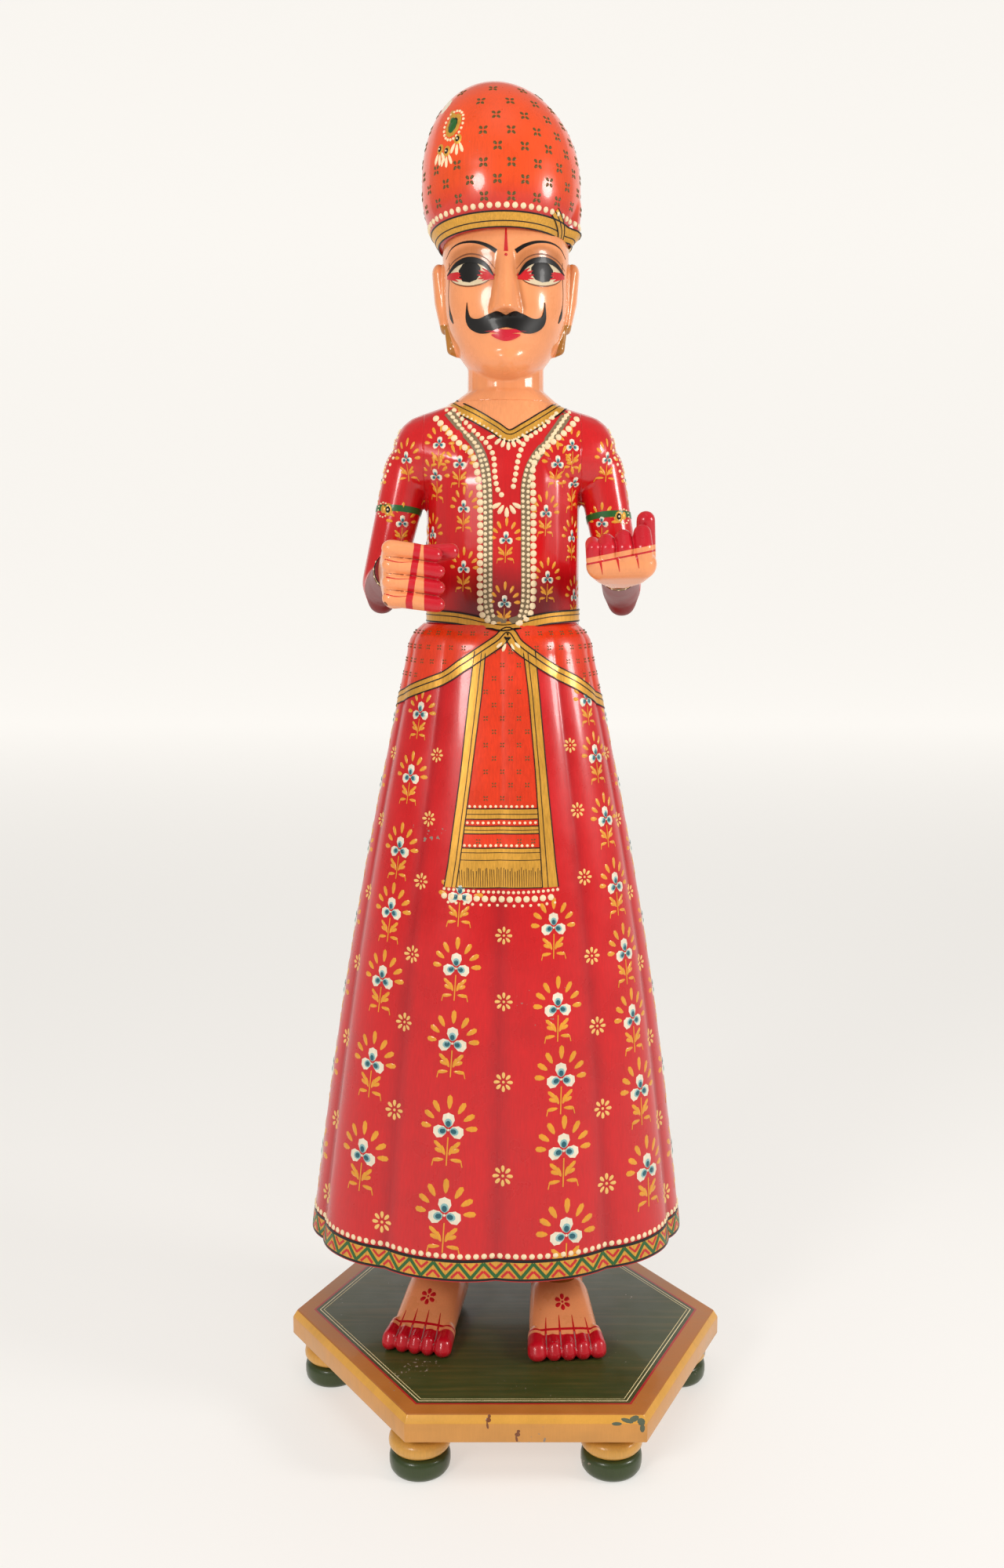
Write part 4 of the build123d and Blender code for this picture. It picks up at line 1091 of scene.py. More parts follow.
# Bright line colours, satin.
green = painted_wood("leaf_green_line_paint", only("1E5E24"), roughness=0.35, coat=0.3)
scarlet = painted_wood("scarlet_line_paint", only("C8141E"), roughness=0.35, coat=0.3)
# Face colours: wet-looking lips and eyes, and thin brown shadow lines.
rose = painted_wood("rose_lip_paint", only("CC1630"), roughness=0.22, coat=0.6, streak=0.3)
white = painted_wood("eye_white_paint", only("DCC8A6"), roughness=0.25, coat=0.5, streak=0.3)
brown = painted_wood("brown_shadow_paint", only("7A4424"), roughness=0.35, coat=0.3)
# Matt scars and grooves: bared undercoat in chips, painted shadow between fingers, painted shade in the
# grooves between toes.
slate = painted_wood("old_green_undercoat", only("5C6450"), roughness=0.5, coat=0.0, streak=0.5)
finger_shadow = painted_wood("painted_finger_shadow_paint", only("8A3A24"), roughness=0.5, coat=0.0, streak=0.3)
# painted shade for the grooves between the toes
toe_groove_shade = painted_wood("painted_toe_groove_shade_paint", only("9C6A66"), roughness=0.5, coat=0.0, streak=0.3)
# Unpainted hardwood dowels with a dull grain, and bright drawn-steel screws.
bare_wood = painted_wood("bare_turned_hardwood", only("B88A58"), roughness=0.6, coat=0.0, streak=2.0)
steel = painted_wood("plain_steel", only("9A9A9C"), roughness=0.35, coat=0.0, metal=1.0)

# ---- The carved pieces -----------------------------------------------------------------
skirt = finish_piece(make_skirt(), "red_paint", red_skirt, ["skirt"])
skirt.name = "skirt_carved"
body = make_upper_body()
finish_piece(body["torso"], "red_paint", red_torso, ["torso"])
for side in ("right", "left"):
    finish_piece(body[side + "_upper_arm"], "red_paint", red_arm, [side + "_upper_arm"])
    finish_piece(body[side + "_forearm"], "red_paint", maroon_arm, [side + "_forearm"])
right_hand = finish_piece(make_right_hand(), "skin_paint", skin_right_hand, ["right_hand"])
left_hand = finish_piece(make_left_hand(), "skin_paint", skin_left_hand, ["left_hand"])
right_leg = finish_piece(make_leg("right_leg", RIGHT_FOOT[0], 67, RIGHT_FOOT[1], 98), "skin_paint",
                         skin_right_foot, ["right_leg"])
left_leg = finish_piece(make_leg("left_leg", LEFT_FOOT[0], 73, LEFT_FOOT[1], 98), "skin_paint",
                        skin_left_foot, ["left_leg"])
head = finish_piece(make_head(), "skin_paint", skin_head, ["head"])
turban = finish_piece(make_turban(), "orange_paint", orange_turban, ["turban"])
plinth = finish_piece(make_plinth(), "ochre_paint", plinth_paint, ["plinth_board"])
plinth.name = "plinth_board_planed"
bun = make_bun_foot()
for node in [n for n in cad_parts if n.startswith("bun_foot")]:
    low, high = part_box(node)
    foot = copy_of(bun, node + "_turned")
    foot.data.transform(Matrix.Translation(((low.x + high.x) / 2, (low.y + high.y) / 2, 0)))
    finish_piece(foot, "green_paint", bun_paint, [node])
bpy.data.objects.remove(bun)

skirt_skin = skin_of(skirt)
body_skin = skin_of(body["torso"])
waist_skin = skin_of(body["torso"], skirt)
head_skin = skin_of(head)
turban_skin = skin_of(turban)


def coat(name, marks, slot, material):
    """Joins marks of one colour into one painted piece."""
    piece = join(marks, name)
    soften(piece, 50)
    return finish_piece(piece, slot, material)


# ---- Waist cloth and sash on the skirt -------------------------------------------------
CLOTH_EDGE = [(-5.0, 655), (-3.5, 658), (-2.15, 671.8), (-1.06, 689), (-0.63, 702.3), (-0.30, 714.1),
              (-0.03, 723.5), (0.146, 730.3), (0.297, 719.9), (0.558, 709.5), (0.835, 700), (1.28, 688.3),
              (2.1, 669.5), (3.5, 658), (5.0, 655)]
SASH_TOP, SASH_FOOT = 716, 510.5
SASH_OUTER_RIGHT = [(SASH_FOOT, -54), (531, -50.4), (607, -39.8), (681, -31.6), (SASH_TOP, -27)]
SASH_INNER_RIGHT = [(SASH_FOOT, -43.5), (531, -40.3), (607, -30.2), (681, -20.6), (SASH_TOP, -17.5)]
SASH_INNER_LEFT = [(SASH_FOOT, 32), (531, 30.8), (607, 26), (681, 19.5), (SASH_TOP, 15)]
SASH_OUTER_LEFT = [(SASH_FOOT, 46), (531, 43.5), (607, 35.8), (681, 29), (SASH_TOP, 25.5)]


def edge_path(table, start, stop, steps=6):
    """A run down one edge of the sash, from one level to another."""
    levels = [start + (stop - start) * i / steps for i in range(steps + 1)]
    return [(between(table, z), z) for z in levels]


def paint_waist():
    ahead = front(skirt_skin)
    cloth = sheet(on_bell, lambda s, t: (-5 + 10 * s, between(CLOTH_EDGE, -5 + 10 * s) * (1 - t) + 737 * t),
                  240, 10, lift=0.25, loop=True)
    middle = ruled(ahead, edge_path(SASH_INNER_RIGHT, SASH_FOOT, SASH_TOP + 2),
                   edge_path(SASH_INNER_LEFT, SASH_FOOT, SASH_TOP + 2), 5, 24, lift=0.3)
    tip = ruled(ahead, [(-17.5, 714), (-8, 722), (1, 731)], [(15, 714), (9, 722), (3, 731)], 4, 10, lift=0.3)
    coat("skirt_waist_cloth", [cloth, middle, tip], "orange_paint", orange_cloth)
    gilt = [line(on_bell, CLOTH_EDGE, 11.5, 10, lift=0.75)]
    for outer, inner in ((SASH_OUTER_RIGHT, SASH_INNER_RIGHT), (SASH_INNER_LEFT, SASH_OUTER_LEFT)):
        gilt.append(ruled(ahead, edge_path(outer, SASH_FOOT, SASH_TOP), edge_path(inner, SASH_FOOT, SASH_TOP),
                          5, 4, lift=0.5))
    for low, high in ((SASH_FOOT, 545), (557.4, 564), (570, 579)):
        gilt.append(ruled(ahead, edge_path(SASH_INNER_RIGHT, low, high, 3),
                          edge_path(SASH_INNER_LEFT, low, high, 3), 4, 24, lift=0.45))
    coat("skirt_gilt_borders", gilt, "ochre_paint", gold)
    black = [line(on_bell, CLOTH_EDGE, 1.1, 10, lift=1.0, aside=shift) for shift in (-5.6, 0.8, 5.6)]
    for outer, inner in ((SASH_OUTER_RIGHT, SASH_INNER_RIGHT), (SASH_OUTER_LEFT, SASH_INNER_LEFT)):
        for share, width in ((0, 1.0), (0.64, 0.7), (1, 0.9)):
            path = [(x * (1 - share) + between(inner, z) * share, z)
                    for x, z in edge_path(outer, SASH_TOP - 1, SASH_FOOT, 10)]
            black.append(line(ahead, path, width, 3, lift=0.75))
    for level, width in ((SASH_FOOT, 0.9), (534.6, 0.6), (541, 0.6), (545, 1.0), (557.4, 0.9), (560.5, 0.6),
                         (564, 0.9), (570, 0.9), (574.3, 0.6), (579, 0.9)):
        left, right = between(SASH_INNER_RIGHT, level), between(SASH_INNER_LEFT, level)
        rung = [(left + (right - left) * i / 8, level) for i in range(9)]
        black.append(line(ahead, rung, width, 3, lift=0.7))
    chance = random.Random(4)
    for i in range(36):
        x = between(SASH_INNER_RIGHT, 520) + 2 + i * 2.0
        if x < between(SASH_INNER_LEFT, 520) - 1:
            top = 526 + chance.uniform(-1.5, 2.5)
            black.append(line(ahead, [(x + chance.uniform(-0.6, 0.6), top), (x, 514), (x, SASH_FOOT + 1)],
                              lambda s: 0.55 - 0.3 * s, 2, lift=0.65))
    coat("skirt_border_lines", black, "ochre_paint", ink)
    dots = []
    for level in (581.0, 566.9, 547.2):
        left, right = between(SASH_INNER_RIGHT, level) + 2, between(SASH_INNER_LEFT, level) - 2
        dots += beads(ahead, spaced(ahead, [(left, level), (0, level), (right, level)], 4.6), 1.5)
    hem = [(-54, 509), (-25, 507.5), (0, 506.5), (25, 507), (46, 508)]
    dots += beads(ahead, spaced(ahead, hem, 4.4), 1.45)
    dots += beads(ahead, spaced(ahead, [(x, z - 6.0) for x, z in hem], 7.3), 2.9)
    dots += beads(ahead, spaced(ahead, [(x + 3.5, z - 11.5) for x, z in hem[:-1]] + [(44, 497)], 7.3), 1.35)
    knot = flat_at(skirt_skin, ahead(2.2, 727)[0], (0, -1, 0.15))
    drops = [ray(side * degrees, reach, 1.7, 4.4, 1.6)
             for side in (-1, 1) for degrees, reach in ((158, 9.5), (132, 10.5))]
    dots += scatter(join(drops, "drops"), [knot])
    coat("skirt_sash_beads", dots, "ochre_paint", cream)
    crosses = []
    cross = join([mark("dab", 1.15 * i, 1.25 * j, 0.62, 0.95, 45 * i * j, height=0.45)
                  for i in (-1, 1) for j in (-1, 1)], "cross")
    for row in range(12):
        for column in range(-1, 2):
            x = (column + (0.5 if row % 2 else 0)) * 14.5 - 3
            z = 588 + row * 11.5
            if between(SASH_INNER_RIGHT, z) + 3 < x < between(SASH_INNER_LEFT, z) - 3:
                crosses.append(press(cross, flat_at(skirt_skin, *ahead(x, z)), lift=0.3))
    for row in range(6):
        for column in range(40):
            turns = -5 + (column + (0.5 if row % 2 else 0)) * 0.25
            z = 730 - row * 12.5
            if z > between(CLOTH_EDGE, turns) + 10:
                spot, outward = on_bell(turns, z)
                crosses.append(press(cross, flat_at(skirt_skin, spot, outward), lift=0.3))
    for x, z in ((-24, 551), (-6, 551), (12, 551), (24, 551)):
        crosses.append(press(cross, flat_at(skirt_skin, *ahead(x, z)), lift=0.3))
    coat("skirt_cloth_motifs", crosses, "orange_paint", olive)
    bpy.data.objects.remove(cross)


# ---- Flowers and stars -----------------------------------------------------------------
def flower_parts():
    """The flower at full size: seven rays, three petals and a leafy stem, on the flat about its heart."""
    gilt = []
    for degrees, reach, length in ((-84, 24, 5.5), (-56, 24.5, 6.2), (-29, 26, 6.6), (3, 28, 7.2),
                                   (33, 26, 6.8), (61, 25, 6.4), (88, 24.5, 6)):
        gilt.append(ray(degrees, reach * 0.95, 2.8, length, 0.45, rise=1))
    gilt.append(stroke(0, -7, -1.5, -35, 1.2))
    for side in (-1, 1):
        for u, v, degrees, half in ((8.5, -15.5, 48, 6.6), (8.0, -20.5, 68, 5.0), (4.2, -20, 25, 5.4)):
            gilt.append(mark("dab", side * u - 1, v, 2.1, half, side * degrees, 0.45))
        gilt.append(mark("dab", side * 9 - 1, -29.5, 2.0, 6.0, side * 96, 0.45))
        gilt.append(stroke(side * 14 - 1, -30, side * 15.4 - 1, -36, 1.0))
    pale, halo, eye = [], [], []
    for u, v, degrees in ((0.3, 9.8, 0), (-8.3, -1.4, -108), (8.5, -1.6, 108)):
        pale.append(mark("dab", u, v, 6.3, 7.4, degrees, 0.55))
        halo.append(mark("bead", u * 0.76, v * 0.76, 3.9, 4.8, degrees, 0.4))
        eye.append(mark("bead", u * 0.66, v * 0.66, 2.5, 3.1, degrees, 0.4))
    pale.append(mark("bead", 0, 0, 1.3, 1.3, 0, 1.0))
    return (join(gilt, "flower_gilt"), join(pale, "flower_petals"), join(halo, "flower_halo"),
            join(eye, "flower_eyes"))


def star_part():
    rays = [ray(degrees, 7, 1.8, 3.4, 0.45) for degrees in range(0, 360, 45)]
    return join(rays + [mark("bead", 0, 0, 1.5, 1.5, 0, 0.5)], "star")


def paint_flowers():
    parts = flower_parts()
    star = star_part()
    laid = [[], [], [], []]
    stars = []

    def plant(skin, spot, outward, wide, tall, bloom=1.0):
        place = flat_at(skin, spot, outward)
        for part, pile, lift, share in zip(parts, laid, (0, 0, 0.35, 0.65), (1, bloom, bloom, bloom)):
            pile.append(press(part, place, wide * share, tall * share, lift))

    left_of_sash = (503, 440, 374, 297, 220)
    right_of_sash = (475, 404, 341, 277, 200)
    outer_right = (659, 603, 538, 483, 421, 345, 260)
    outer_left = (670, 620, 564, 504, 443, 382, 316, 241)
    columns = {-0.5: (left_of_sash, 0.06), 0.5: (right_of_sash, 0.09), -1.5: (outer_right, 0.16),
               1.5: (outer_left, 0.05)}
    for half_turn in range(10):
        turns = half_turn - 4.5
        levels, drift = columns.get(turns, ((650, 590, 530, 462, 395, 318, 236), 0.0))
        for z in levels:
            share = (712 - z) / 552
            wide, tall = 0.50 + 0.52 * share, 0.60 + 0.42 * share
            spot, outward = on_bell(turns + drift, z)
            plant(skirt_skin, spot, outward, wide, tall)
    columns = {-1: ((624, 568, 513, 448, 387, 307, 203), -0.07, 0.17), 0: ((469, 411, 340, 256), 0.05, 0.0),
               1: ((632, 575, 516, 446, 383, 308, 239), 0.03, 0.05)}
    for turns in range(-5, 5):
        levels, drift, start = columns.get(turns, ((621, 560, 493, 427, 356, 277, 205), 0.0, 0.0))
        for z in levels:
            share = (712 - z) / 552
            spot, outward = on_bell(turns + drift + start * (1 - share), z)
            size = 0.58 + 0.42 * share
            stars.append(press(star, flat_at(skirt_skin, spot, outward), size * 0.95, size))
    ahead = front(body_skin)
    for x, z in ((-36.7, 838), (35, 834), (0.1, 811), (-37, 786), (36.6, 777), (-1.2, 756), (-61, 866),
                 (-64.7, 816), (59.6, 860), (58.6, 813), (61, 761), (-58, 893), (58, 891), (-40, 876),
                 (45, 876)):
        plant(body_skin, *ahead(x, z), 0.48, 0.56, 0.78)
    behind = around(body_skin, 0, 0)
    for row in range(4):
        for column in range(4):
            degrees = 112 + 45 * column + (22 if row % 2 else 0)
            plant(body_skin, *behind(degrees, 768 + 38 * row), 0.48, 0.56, 0.78)
    for side, x in (("right", -88), ("left", 84)):
        arm_skin = skin_of(body[side + "_upper_arm"])
        place = around(arm_skin, x * 1.03, 0)
        for degrees, z in ((8, 881), (-4, 826), (95, 862), (-95, 862), (180, 880), (180, 826)):
            plant(arm_skin, *place(degrees, z), 0.48, 0.54, 0.78)
    paints = {"leaves": leaf, "petals": petal, "halos": teal_pale, "eyes": teal}
    for (name, material), pile in zip(paints.items(), laid):
        coat("flower_" + name, pile, "red_paint", material)
    coat("skirt_stars", stars, "red_paint", pale_gold)
    for part in (*parts, star):
        bpy.data.objects.remove(part)


# ---- Hem band --------------------------------------------------------------------------
def hem_walk(z, count):
    """Turns of this many places spread evenly round the skirt at a level."""
    fine = 1200
    spots = [on_bell(-5 + 10 * i / fine, z)[0] for i in range(fine + 1)]
    lengths = [0.0]
    for here, there in zip(spots, spots[1:]):
        lengths.append(lengths[-1] + (there - here).length)
    table = [(length, -5 + 10 * i / fine) for i, length in enumerate(lengths)]
    return [between(table, lengths[-1] * k / count) for k in range(count)], table


def paint_hem():
    foot, top = 161.5, 179.0
    band = sheet(on_bell, lambda s, t: (-5 + 10 * s, foot + (top - foot) * t), 300, 4, lift=0.3, loop=True)
    coat("hem_gilt_band", [band], "ochre_paint", gold)
    ring = [(-5 + 10 * i / 100, 0) for i in range(101)]
    coat("hem_black_lines", [line(on_bell, [(turns, level) for turns, _ in ring], width, 3, lift=0.55)
                             for level, width in ((foot + 0.4, 2.0), (top, 2.6))], "ochre_paint", ink)
    teeth = 42
    _, table = hem_walk(170, teeth)
    step = table[-1][0] / MM / teeth
    tall = top - foot - 4
    slant = math.atan2(step / 2, tall)
    in_set = 3.3 / math.cos(slant)
    zig = join([stroke(-step / 2, 0, 0, tall, 2.8), stroke(0, tall, step / 2, 0, 2.8)], "zig")
    red = join([stroke(-step / 2 + in_set + 1, 0.3, -0.2, tall - in_set * 1.7, 2.2, 0.45),
                stroke(0.2, tall - in_set * 1.7, step / 2 - in_set - 1, 0.3, 2.2, 0.45),
                stroke(-step / 2 - 0.2, in_set * 1.7, -in_set - 1, tall - 0.3, 2.2, 0.45),
                stroke(in_set + 1, tall - 0.3, step / 2 + 0.2, in_set * 1.7, 1.8, 0.45)], "red")
    zigs, reds = [], []
    for tooth in range(teeth):
        middle = (tooth + 0.5) * step

        def place(u, v):
            return on_bell(between(table, (middle + u) * MM % table[-1][0]), foot + 2 + v)

        zigs.append(press(zig, place, lift=0.4))
        reds.append(press(red, place, lift=0.35))
    coat("hem_green_zigzag", zigs, "green_paint", green)
    coat("hem_red_chevrons", reds, "red_paint", scarlet)
    turns, _ = hem_walk(182.5, 131)
    coat("hem_beads", beads(on_bell, [(t, 183.2) for t in turns], 2.6), "ochre_paint", cream)
    bpy.data.objects.remove(zig)
    bpy.data.objects.remove(red)


# ---- Bodice: belt, neck border and strings of beads ------------------------------------
COLLAR = [(-47, 929), (-40, 924.5), (-27, 917.5), (-10.1, 907.3), (3.0, 899.7), (17, 906.3), (34, 917),
          (44, 923.5), (49, 927.5)]
OPENING = {-1: [(-61, 916), (-51.2, 905.4), (-40.7, 894.2), (-29.8, 885.2), (-25, 870.3), (-22.3, 843.6),
                (-22.4, 803), (-22.5, 762.7), (-20.5, 745.7), (-6.7, 736.4), (2.2, 735.7)],
           1: [(62, 915.6), (54.9, 906.9), (45.8, 899.1), (34.1, 889.4), (27.3, 881.9), (23.2, 870.4),
               (23.9, 843.7), (24.1, 803.4), (24.2, 762.7), (20.8, 745.6), (10.4, 737.6)]}
BRAID = {-1: [(-50, 921.5), (-37.5, 906), (-24.5, 890.5), (-17.5, 870), (-15.6, 840), (-15.6, 800),
              (-15.6, 760), (-13, 744), (0, 739)],
         1: [(54, 920), (39.5, 899), (24, 879), (17.4, 858), (17.3, 830), (17.3, 800), (17.3, 760), (14, 744),
             (4, 739)]}
NECK_BEADS = {-1: [(-45, 923), (-29.2, 906), (-16.3, 893), (-10.7, 882), (-9.4, 866), (-6.6, 853),
                   (0.3, 846)],
              1: [(44, 920), (31, 907), (17.7, 896.5), (12.4, 886), (9.9, 876), (8.3, 866), (5.6, 852)]}


def belt_level(degrees):
    return 744.5 - 8.5 * math.exp(-(degrees / 34) ** 2)


def paint_bodice():
    ahead = front(body_skin)
    waist = around(waist_skin, -2, 0)
    belt = [(d, belt_level(d)) for d in range(-180, 181, 15)]
    coat("belt_gilt", [line(waist, belt, 9.5, 3, lift=1.0)], "ochre_paint", gold)
    coat("belt_lines", [line(waist, belt, width, 3, lift=1.35, aside=shift)
                        for shift, width in ((-4.9, 1.3), (1.0, 0.8), (4.9, 1.4))], "ochre_paint", ink)
    coat("collar_gilt", [line(ahead, COLLAR, 10.5, 6, lift=0.4)], "ochre_paint", gold)
    coat("collar_lines", [line(ahead, COLLAR, width, 6, lift=0.75, aside=shift)
                          for shift, width in ((-5.2, 1.2), (1.2, 0.8), (5.2, 1.2))], "ochre_paint", ink)
    braids = [line(ahead, BRAID[side], 8.5, 5, lift=0.3) for side in (-1, 1)]
    coat("bodice_braid_ground", braids, "red_paint", grey_ground)
    pearls = []
    for side in (-1, 1):
        pearls += beads(ahead, spaced(ahead, OPENING[side], 6.5), 3.0, 1.7)
        pearls += beads(ahead, spaced(ahead, NECK_BEADS[side], 5.4), 2.3, 1.4)
        for shift in (-2.25, 2.25):
            path = [(u + side * shift, v) if v < 885 else (u + side * shift * 0.75, v + shift * 0.75)
                    for u, v in BRAID[side][:-1]]
            pearls += beads(ahead, spaced(ahead, path, 4.5), 1.8, 1.2)
    hung = [(u, v - 4.2) for u, v in COLLAR]
    pearls += beads(ahead, spaced(ahead, hung[1:-1], 4.4), 1.35, 1.3)
    drops = [ray(180 - lean, reach, 1.75, 4.2, 1.3) for lean, reach in (
        (-76, 15), (-48, 11.5), (-24, 10.5), (0, 12), (24, 10.5), (48, 11.5), (76, 15))]
    pearls += scatter(join(drops, "drops"), [flat_at(body_skin, *ahead(2.0, 903))])
    drops = [ray(180 - lean, reach, 2.0, 4.6, 1.4) for lean, reach in (
        (-62, 10), (-32, 9.5), (0, 10.5), (32, 9.5), (62, 10))]
    pearls += scatter(join(drops, "drops"), [flat_at(body_skin, *ahead(0.8, 845))])
    coat("bodice_beads", pearls, "red_paint", cream)


def paint_sleeves():
    """Armlets, wrist bands and the dotted ovals outside the shoulders."""
    bands, gilt, lines, dots = [], [], [], []
    for side, x, level, tilt in (("right", -92, 837, 2.0), ("left", 88, 831, 3.0)):
        outer = -1 if side == "right" else 1
        arm = skin_of(body[side + "_upper_arm"])
        wrapped = around(arm, x, 1)
        ring = [(d, level + tilt * math.cos(math.radians(d)) + outer * 2 * math.sin(math.radians(d)))
                for d in range(-180, 181, 30)]
        bands.append(line(wrapped, ring, 5.5, 4, lift=0.5))
        spot, outward = wrapped(outer * 34, level + 1)
        clasp = flat_at(arm, spot, outward)
        plates = [mark("bead", 0, 0, 4.6, 5.8, 0, 0.9), mark("bead", outer * 5.5, 1, 3, 4, 0, 0.9)]
        gilt += scatter(join(plates, "clasp"), [clasp])
        lines += scatter(mark("bead", 0, 0, 2.9, 3.9, 0, 1.3), [clasp])
        dots += beads(clasp, oval_ring(5.8, 6.4, 12, (outer * 5.5, 0)), 0.9, 1.2)
        dots += beads(clasp, [(0, 0)], 1.2, 2.0)
        spot, outward = wrapped(outer * 82, 886)
        oval = flat_at(arm, spot, outward)
        for reach, radius in ((1.0, 1.5), (0.62, 1.2)):
            dots += beads(oval, oval_ring(13 * reach, 24 * reach, 24), radius, 1.1)
        elbow, wrist = (Vector(joint) for joint in ARM_JOINTS[side])
        along = (wrist - elbow).normalized()
        cuff = elbow.lerp(wrist, 0.93)
        forearm = skin_of(body[side + "_forearm"])
        across = along.cross(Vector((0, 0, 1))).normalized()
        rise = across.cross(along)

        def sleeve(degrees, reach):
            out = across * math.sin(math.radians(degrees)) + rise * math.cos(math.radians(degrees))
            return meet(forearm, (cuff + along * reach + out * 60) * MM, -out, 0.044)

        loop = [(d, 0.0) for d in range(-180, 181, 30)]
        gilt.append(line(sleeve, loop, 6.0, 3, lift=0.5))
        lines += [line(sleeve, loop, 0.8, 3, lift=0.8, aside=shift) for shift in (-2.8, 2.8)]
        dots += beads(sleeve, [(d, 0.0) for d in range(0, 360, 20)], 1.2, 1.4)
    coat("armlet_bands", bands, "green_paint", green)
    coat("sleeve_gilt", gilt, "ochre_paint", gold)
    coat("sleeve_lines", lines, "ochre_paint", ink)
    coat("sleeve_dots", dots, "red_paint", cream)


# ---- Turban ----------------------------------------------------------------------------
def rim_level(degrees):
    return 1063 + 7.4 * math.cos(math.radians(degrees))


def paint_turban():
    wrapped = around(turban_skin, 0, 0)
    circle = range(-180, 181, 15)
    rim = [(d, rim_level(d) + 4.8) for d in circle]
    coat("turban_gilt_band", [line(wrapped, rim, 13.0, 3, lift=0.45)], "ochre_paint", gold)
    strip = line(wrapped, [(43, 1084), (52, 1077), (60, 1070), (66, 1062)], 8.5, 4, lift=0.8)
    coat("turban_gilt_fold", [strip], "ochre_paint", gold)
    lines = [line(wrapped, rim, width, 3, lift=0.75, aside=shift)
             for shift, width in ((-6.3, 1.2), (-1.4, 0.9), (6.3, 1.3))]
    lines += [line(wrapped, [(43, 1084), (52, 1077), (60, 1070), (66, 1062)], 0.9, 4, lift=1.1, aside=shift)
              for shift in (-4.2, 0.3, 4.2)]
    coat("turban_lines", lines, "ochre_paint", ink)
    strung = [(d, rim_level(d) + 15.0) for d in circle]
    pearls = beads(wrapped, spaced(wrapped, strung, 7.15), 2.55, 1.5)
    leaves = [mark("dab", 2.0 * i, 2.1 * j, 1.35, 2.0, 45 * i * j, 0.5) for i in (-1, 1) for j in (-1, 1)]
    motif = join(leaves, "motif")
    places = []
    for row in range(8):
        level = 1092 + 13.2 * row
        girth = max(abs(wrapped(90, level)[0].x), 0.012) * 2 * math.pi / MM
        count = max(3, round(girth / 22.5))
        for column in range(count):
            degrees = (column + 0.5 * (row % 2)) * 360 / count + 4
            if not (-75 < (degrees + 180) % 360 - 180 < -25 and 1125 < level < 1175):
                places.append(flat_at(turban_skin, *wrapped(degrees, level)))
    coat("turban_motifs", scatter(motif, places), "orange_paint", olive)
    jewel = flat_at(turban_skin, Vector((-0.0446, -0.0465, 1.1524)), (-0.59, -0.73, 0.34))
    tan = [mark("bead", 0.5, 0.5, 8.0, 11.2, 12, 0.7), mark("bead", -4.0, 11.0, 3.0, 5.5, -28, 0.7)]
    knobs = [(-10.9, -17.9), (-2.5, -21.2), (8.2, -13)]
    tan += [mark("bead", u, v, 3.9, 4.4, 0, 0.8) for u, v in knobs]
    coat("turban_jewel_mount", scatter(join(tan, "mount"), [jewel]), "ochre_paint", gold)
    rings = [mark("bead", u, v, 2.7, 3.1, 0, 1.1) for u, v in knobs]
    rings.append(mark("bead", 0.6, 0, 5.9, 9.2, 12, 0.85))
    coat("turban_jewel_rings", scatter(join(rings, "rings"), [jewel]), "ochre_paint", ink)
    stone = [mark("bead", 0.8, -0.8, 4.6, 7.6, 14, 1.3), mark("bead", -1.2, 4.4, 3.0, 3.8, -20, 1.3)]
    coat("turban_jewel_stone", scatter(join(stone, "stone"), [jewel]), "green_paint", green)
    pearls += beads(jewel, oval_ring(9.9, 13.2, 20, (0.5, 0.5)), 1.3, 1.0) + beads(jewel, knobs, 0.9, 2.2)
    drops = [mark("dab", u + lean * 0.16, v - 8.5 + abs(lean) * 0.06, 1.6, 4.6, 180 - lean, 1.0)
             for u, v in knobs for lean in (-26, 0, 26)]
    pearls += scatter(join(drops, "drops"), [jewel])
    coat("turban_beads", pearls, "orange_paint", cream)
    chip = join([mark("bead", 0, 0, 5.5, 7.5, 20, 0.35), mark("bead", -2.5, 6, 3.5, 5, -10, 0.35)], "chip")
    coat("turban_chip", scatter(chip, [flat_at(turban_skin, *wrapped(-66, 1174))]), "orange_paint", petal)


# ---- Face ------------------------------------------------------------------------------
LID = [(10.3, 1029.5), (18.5, 1039.6), (30.5, 1044.0), (41.5, 1042.2), (50.0, 1035.5)]
UNDER_EYE = [(10.3, 1029.5), (19.5, 1024.3), (32, 1023.2), (43, 1027.5), (50.0, 1035.5)]
CREASE = [(9.0, 1036), (18.0, 1045.6), (31.0, 1049.6), (43.5, 1046.8), (51, 1040.5)]
BROW = [(8.2, 1050), (15.9, 1055.1), (26.2, 1058.9), (38, 1059.8), (46.5, 1057), (51.5, 1050.5)]
MOUSTACHE_TOP = [(0, 998), (7.9, 1000.4), (14.2, 999.3), (22.6, 996.1), (29.5, 997.6), (32.0, 1003),
                 (32.9, 1010)]
MOUSTACHE_FOOT = [(0, 988.0), (8.5, 986.4), (15.5, 983.9), (23, 984.6), (30.4, 989.3), (33.8, 997),
                  (32.9, 1010)]


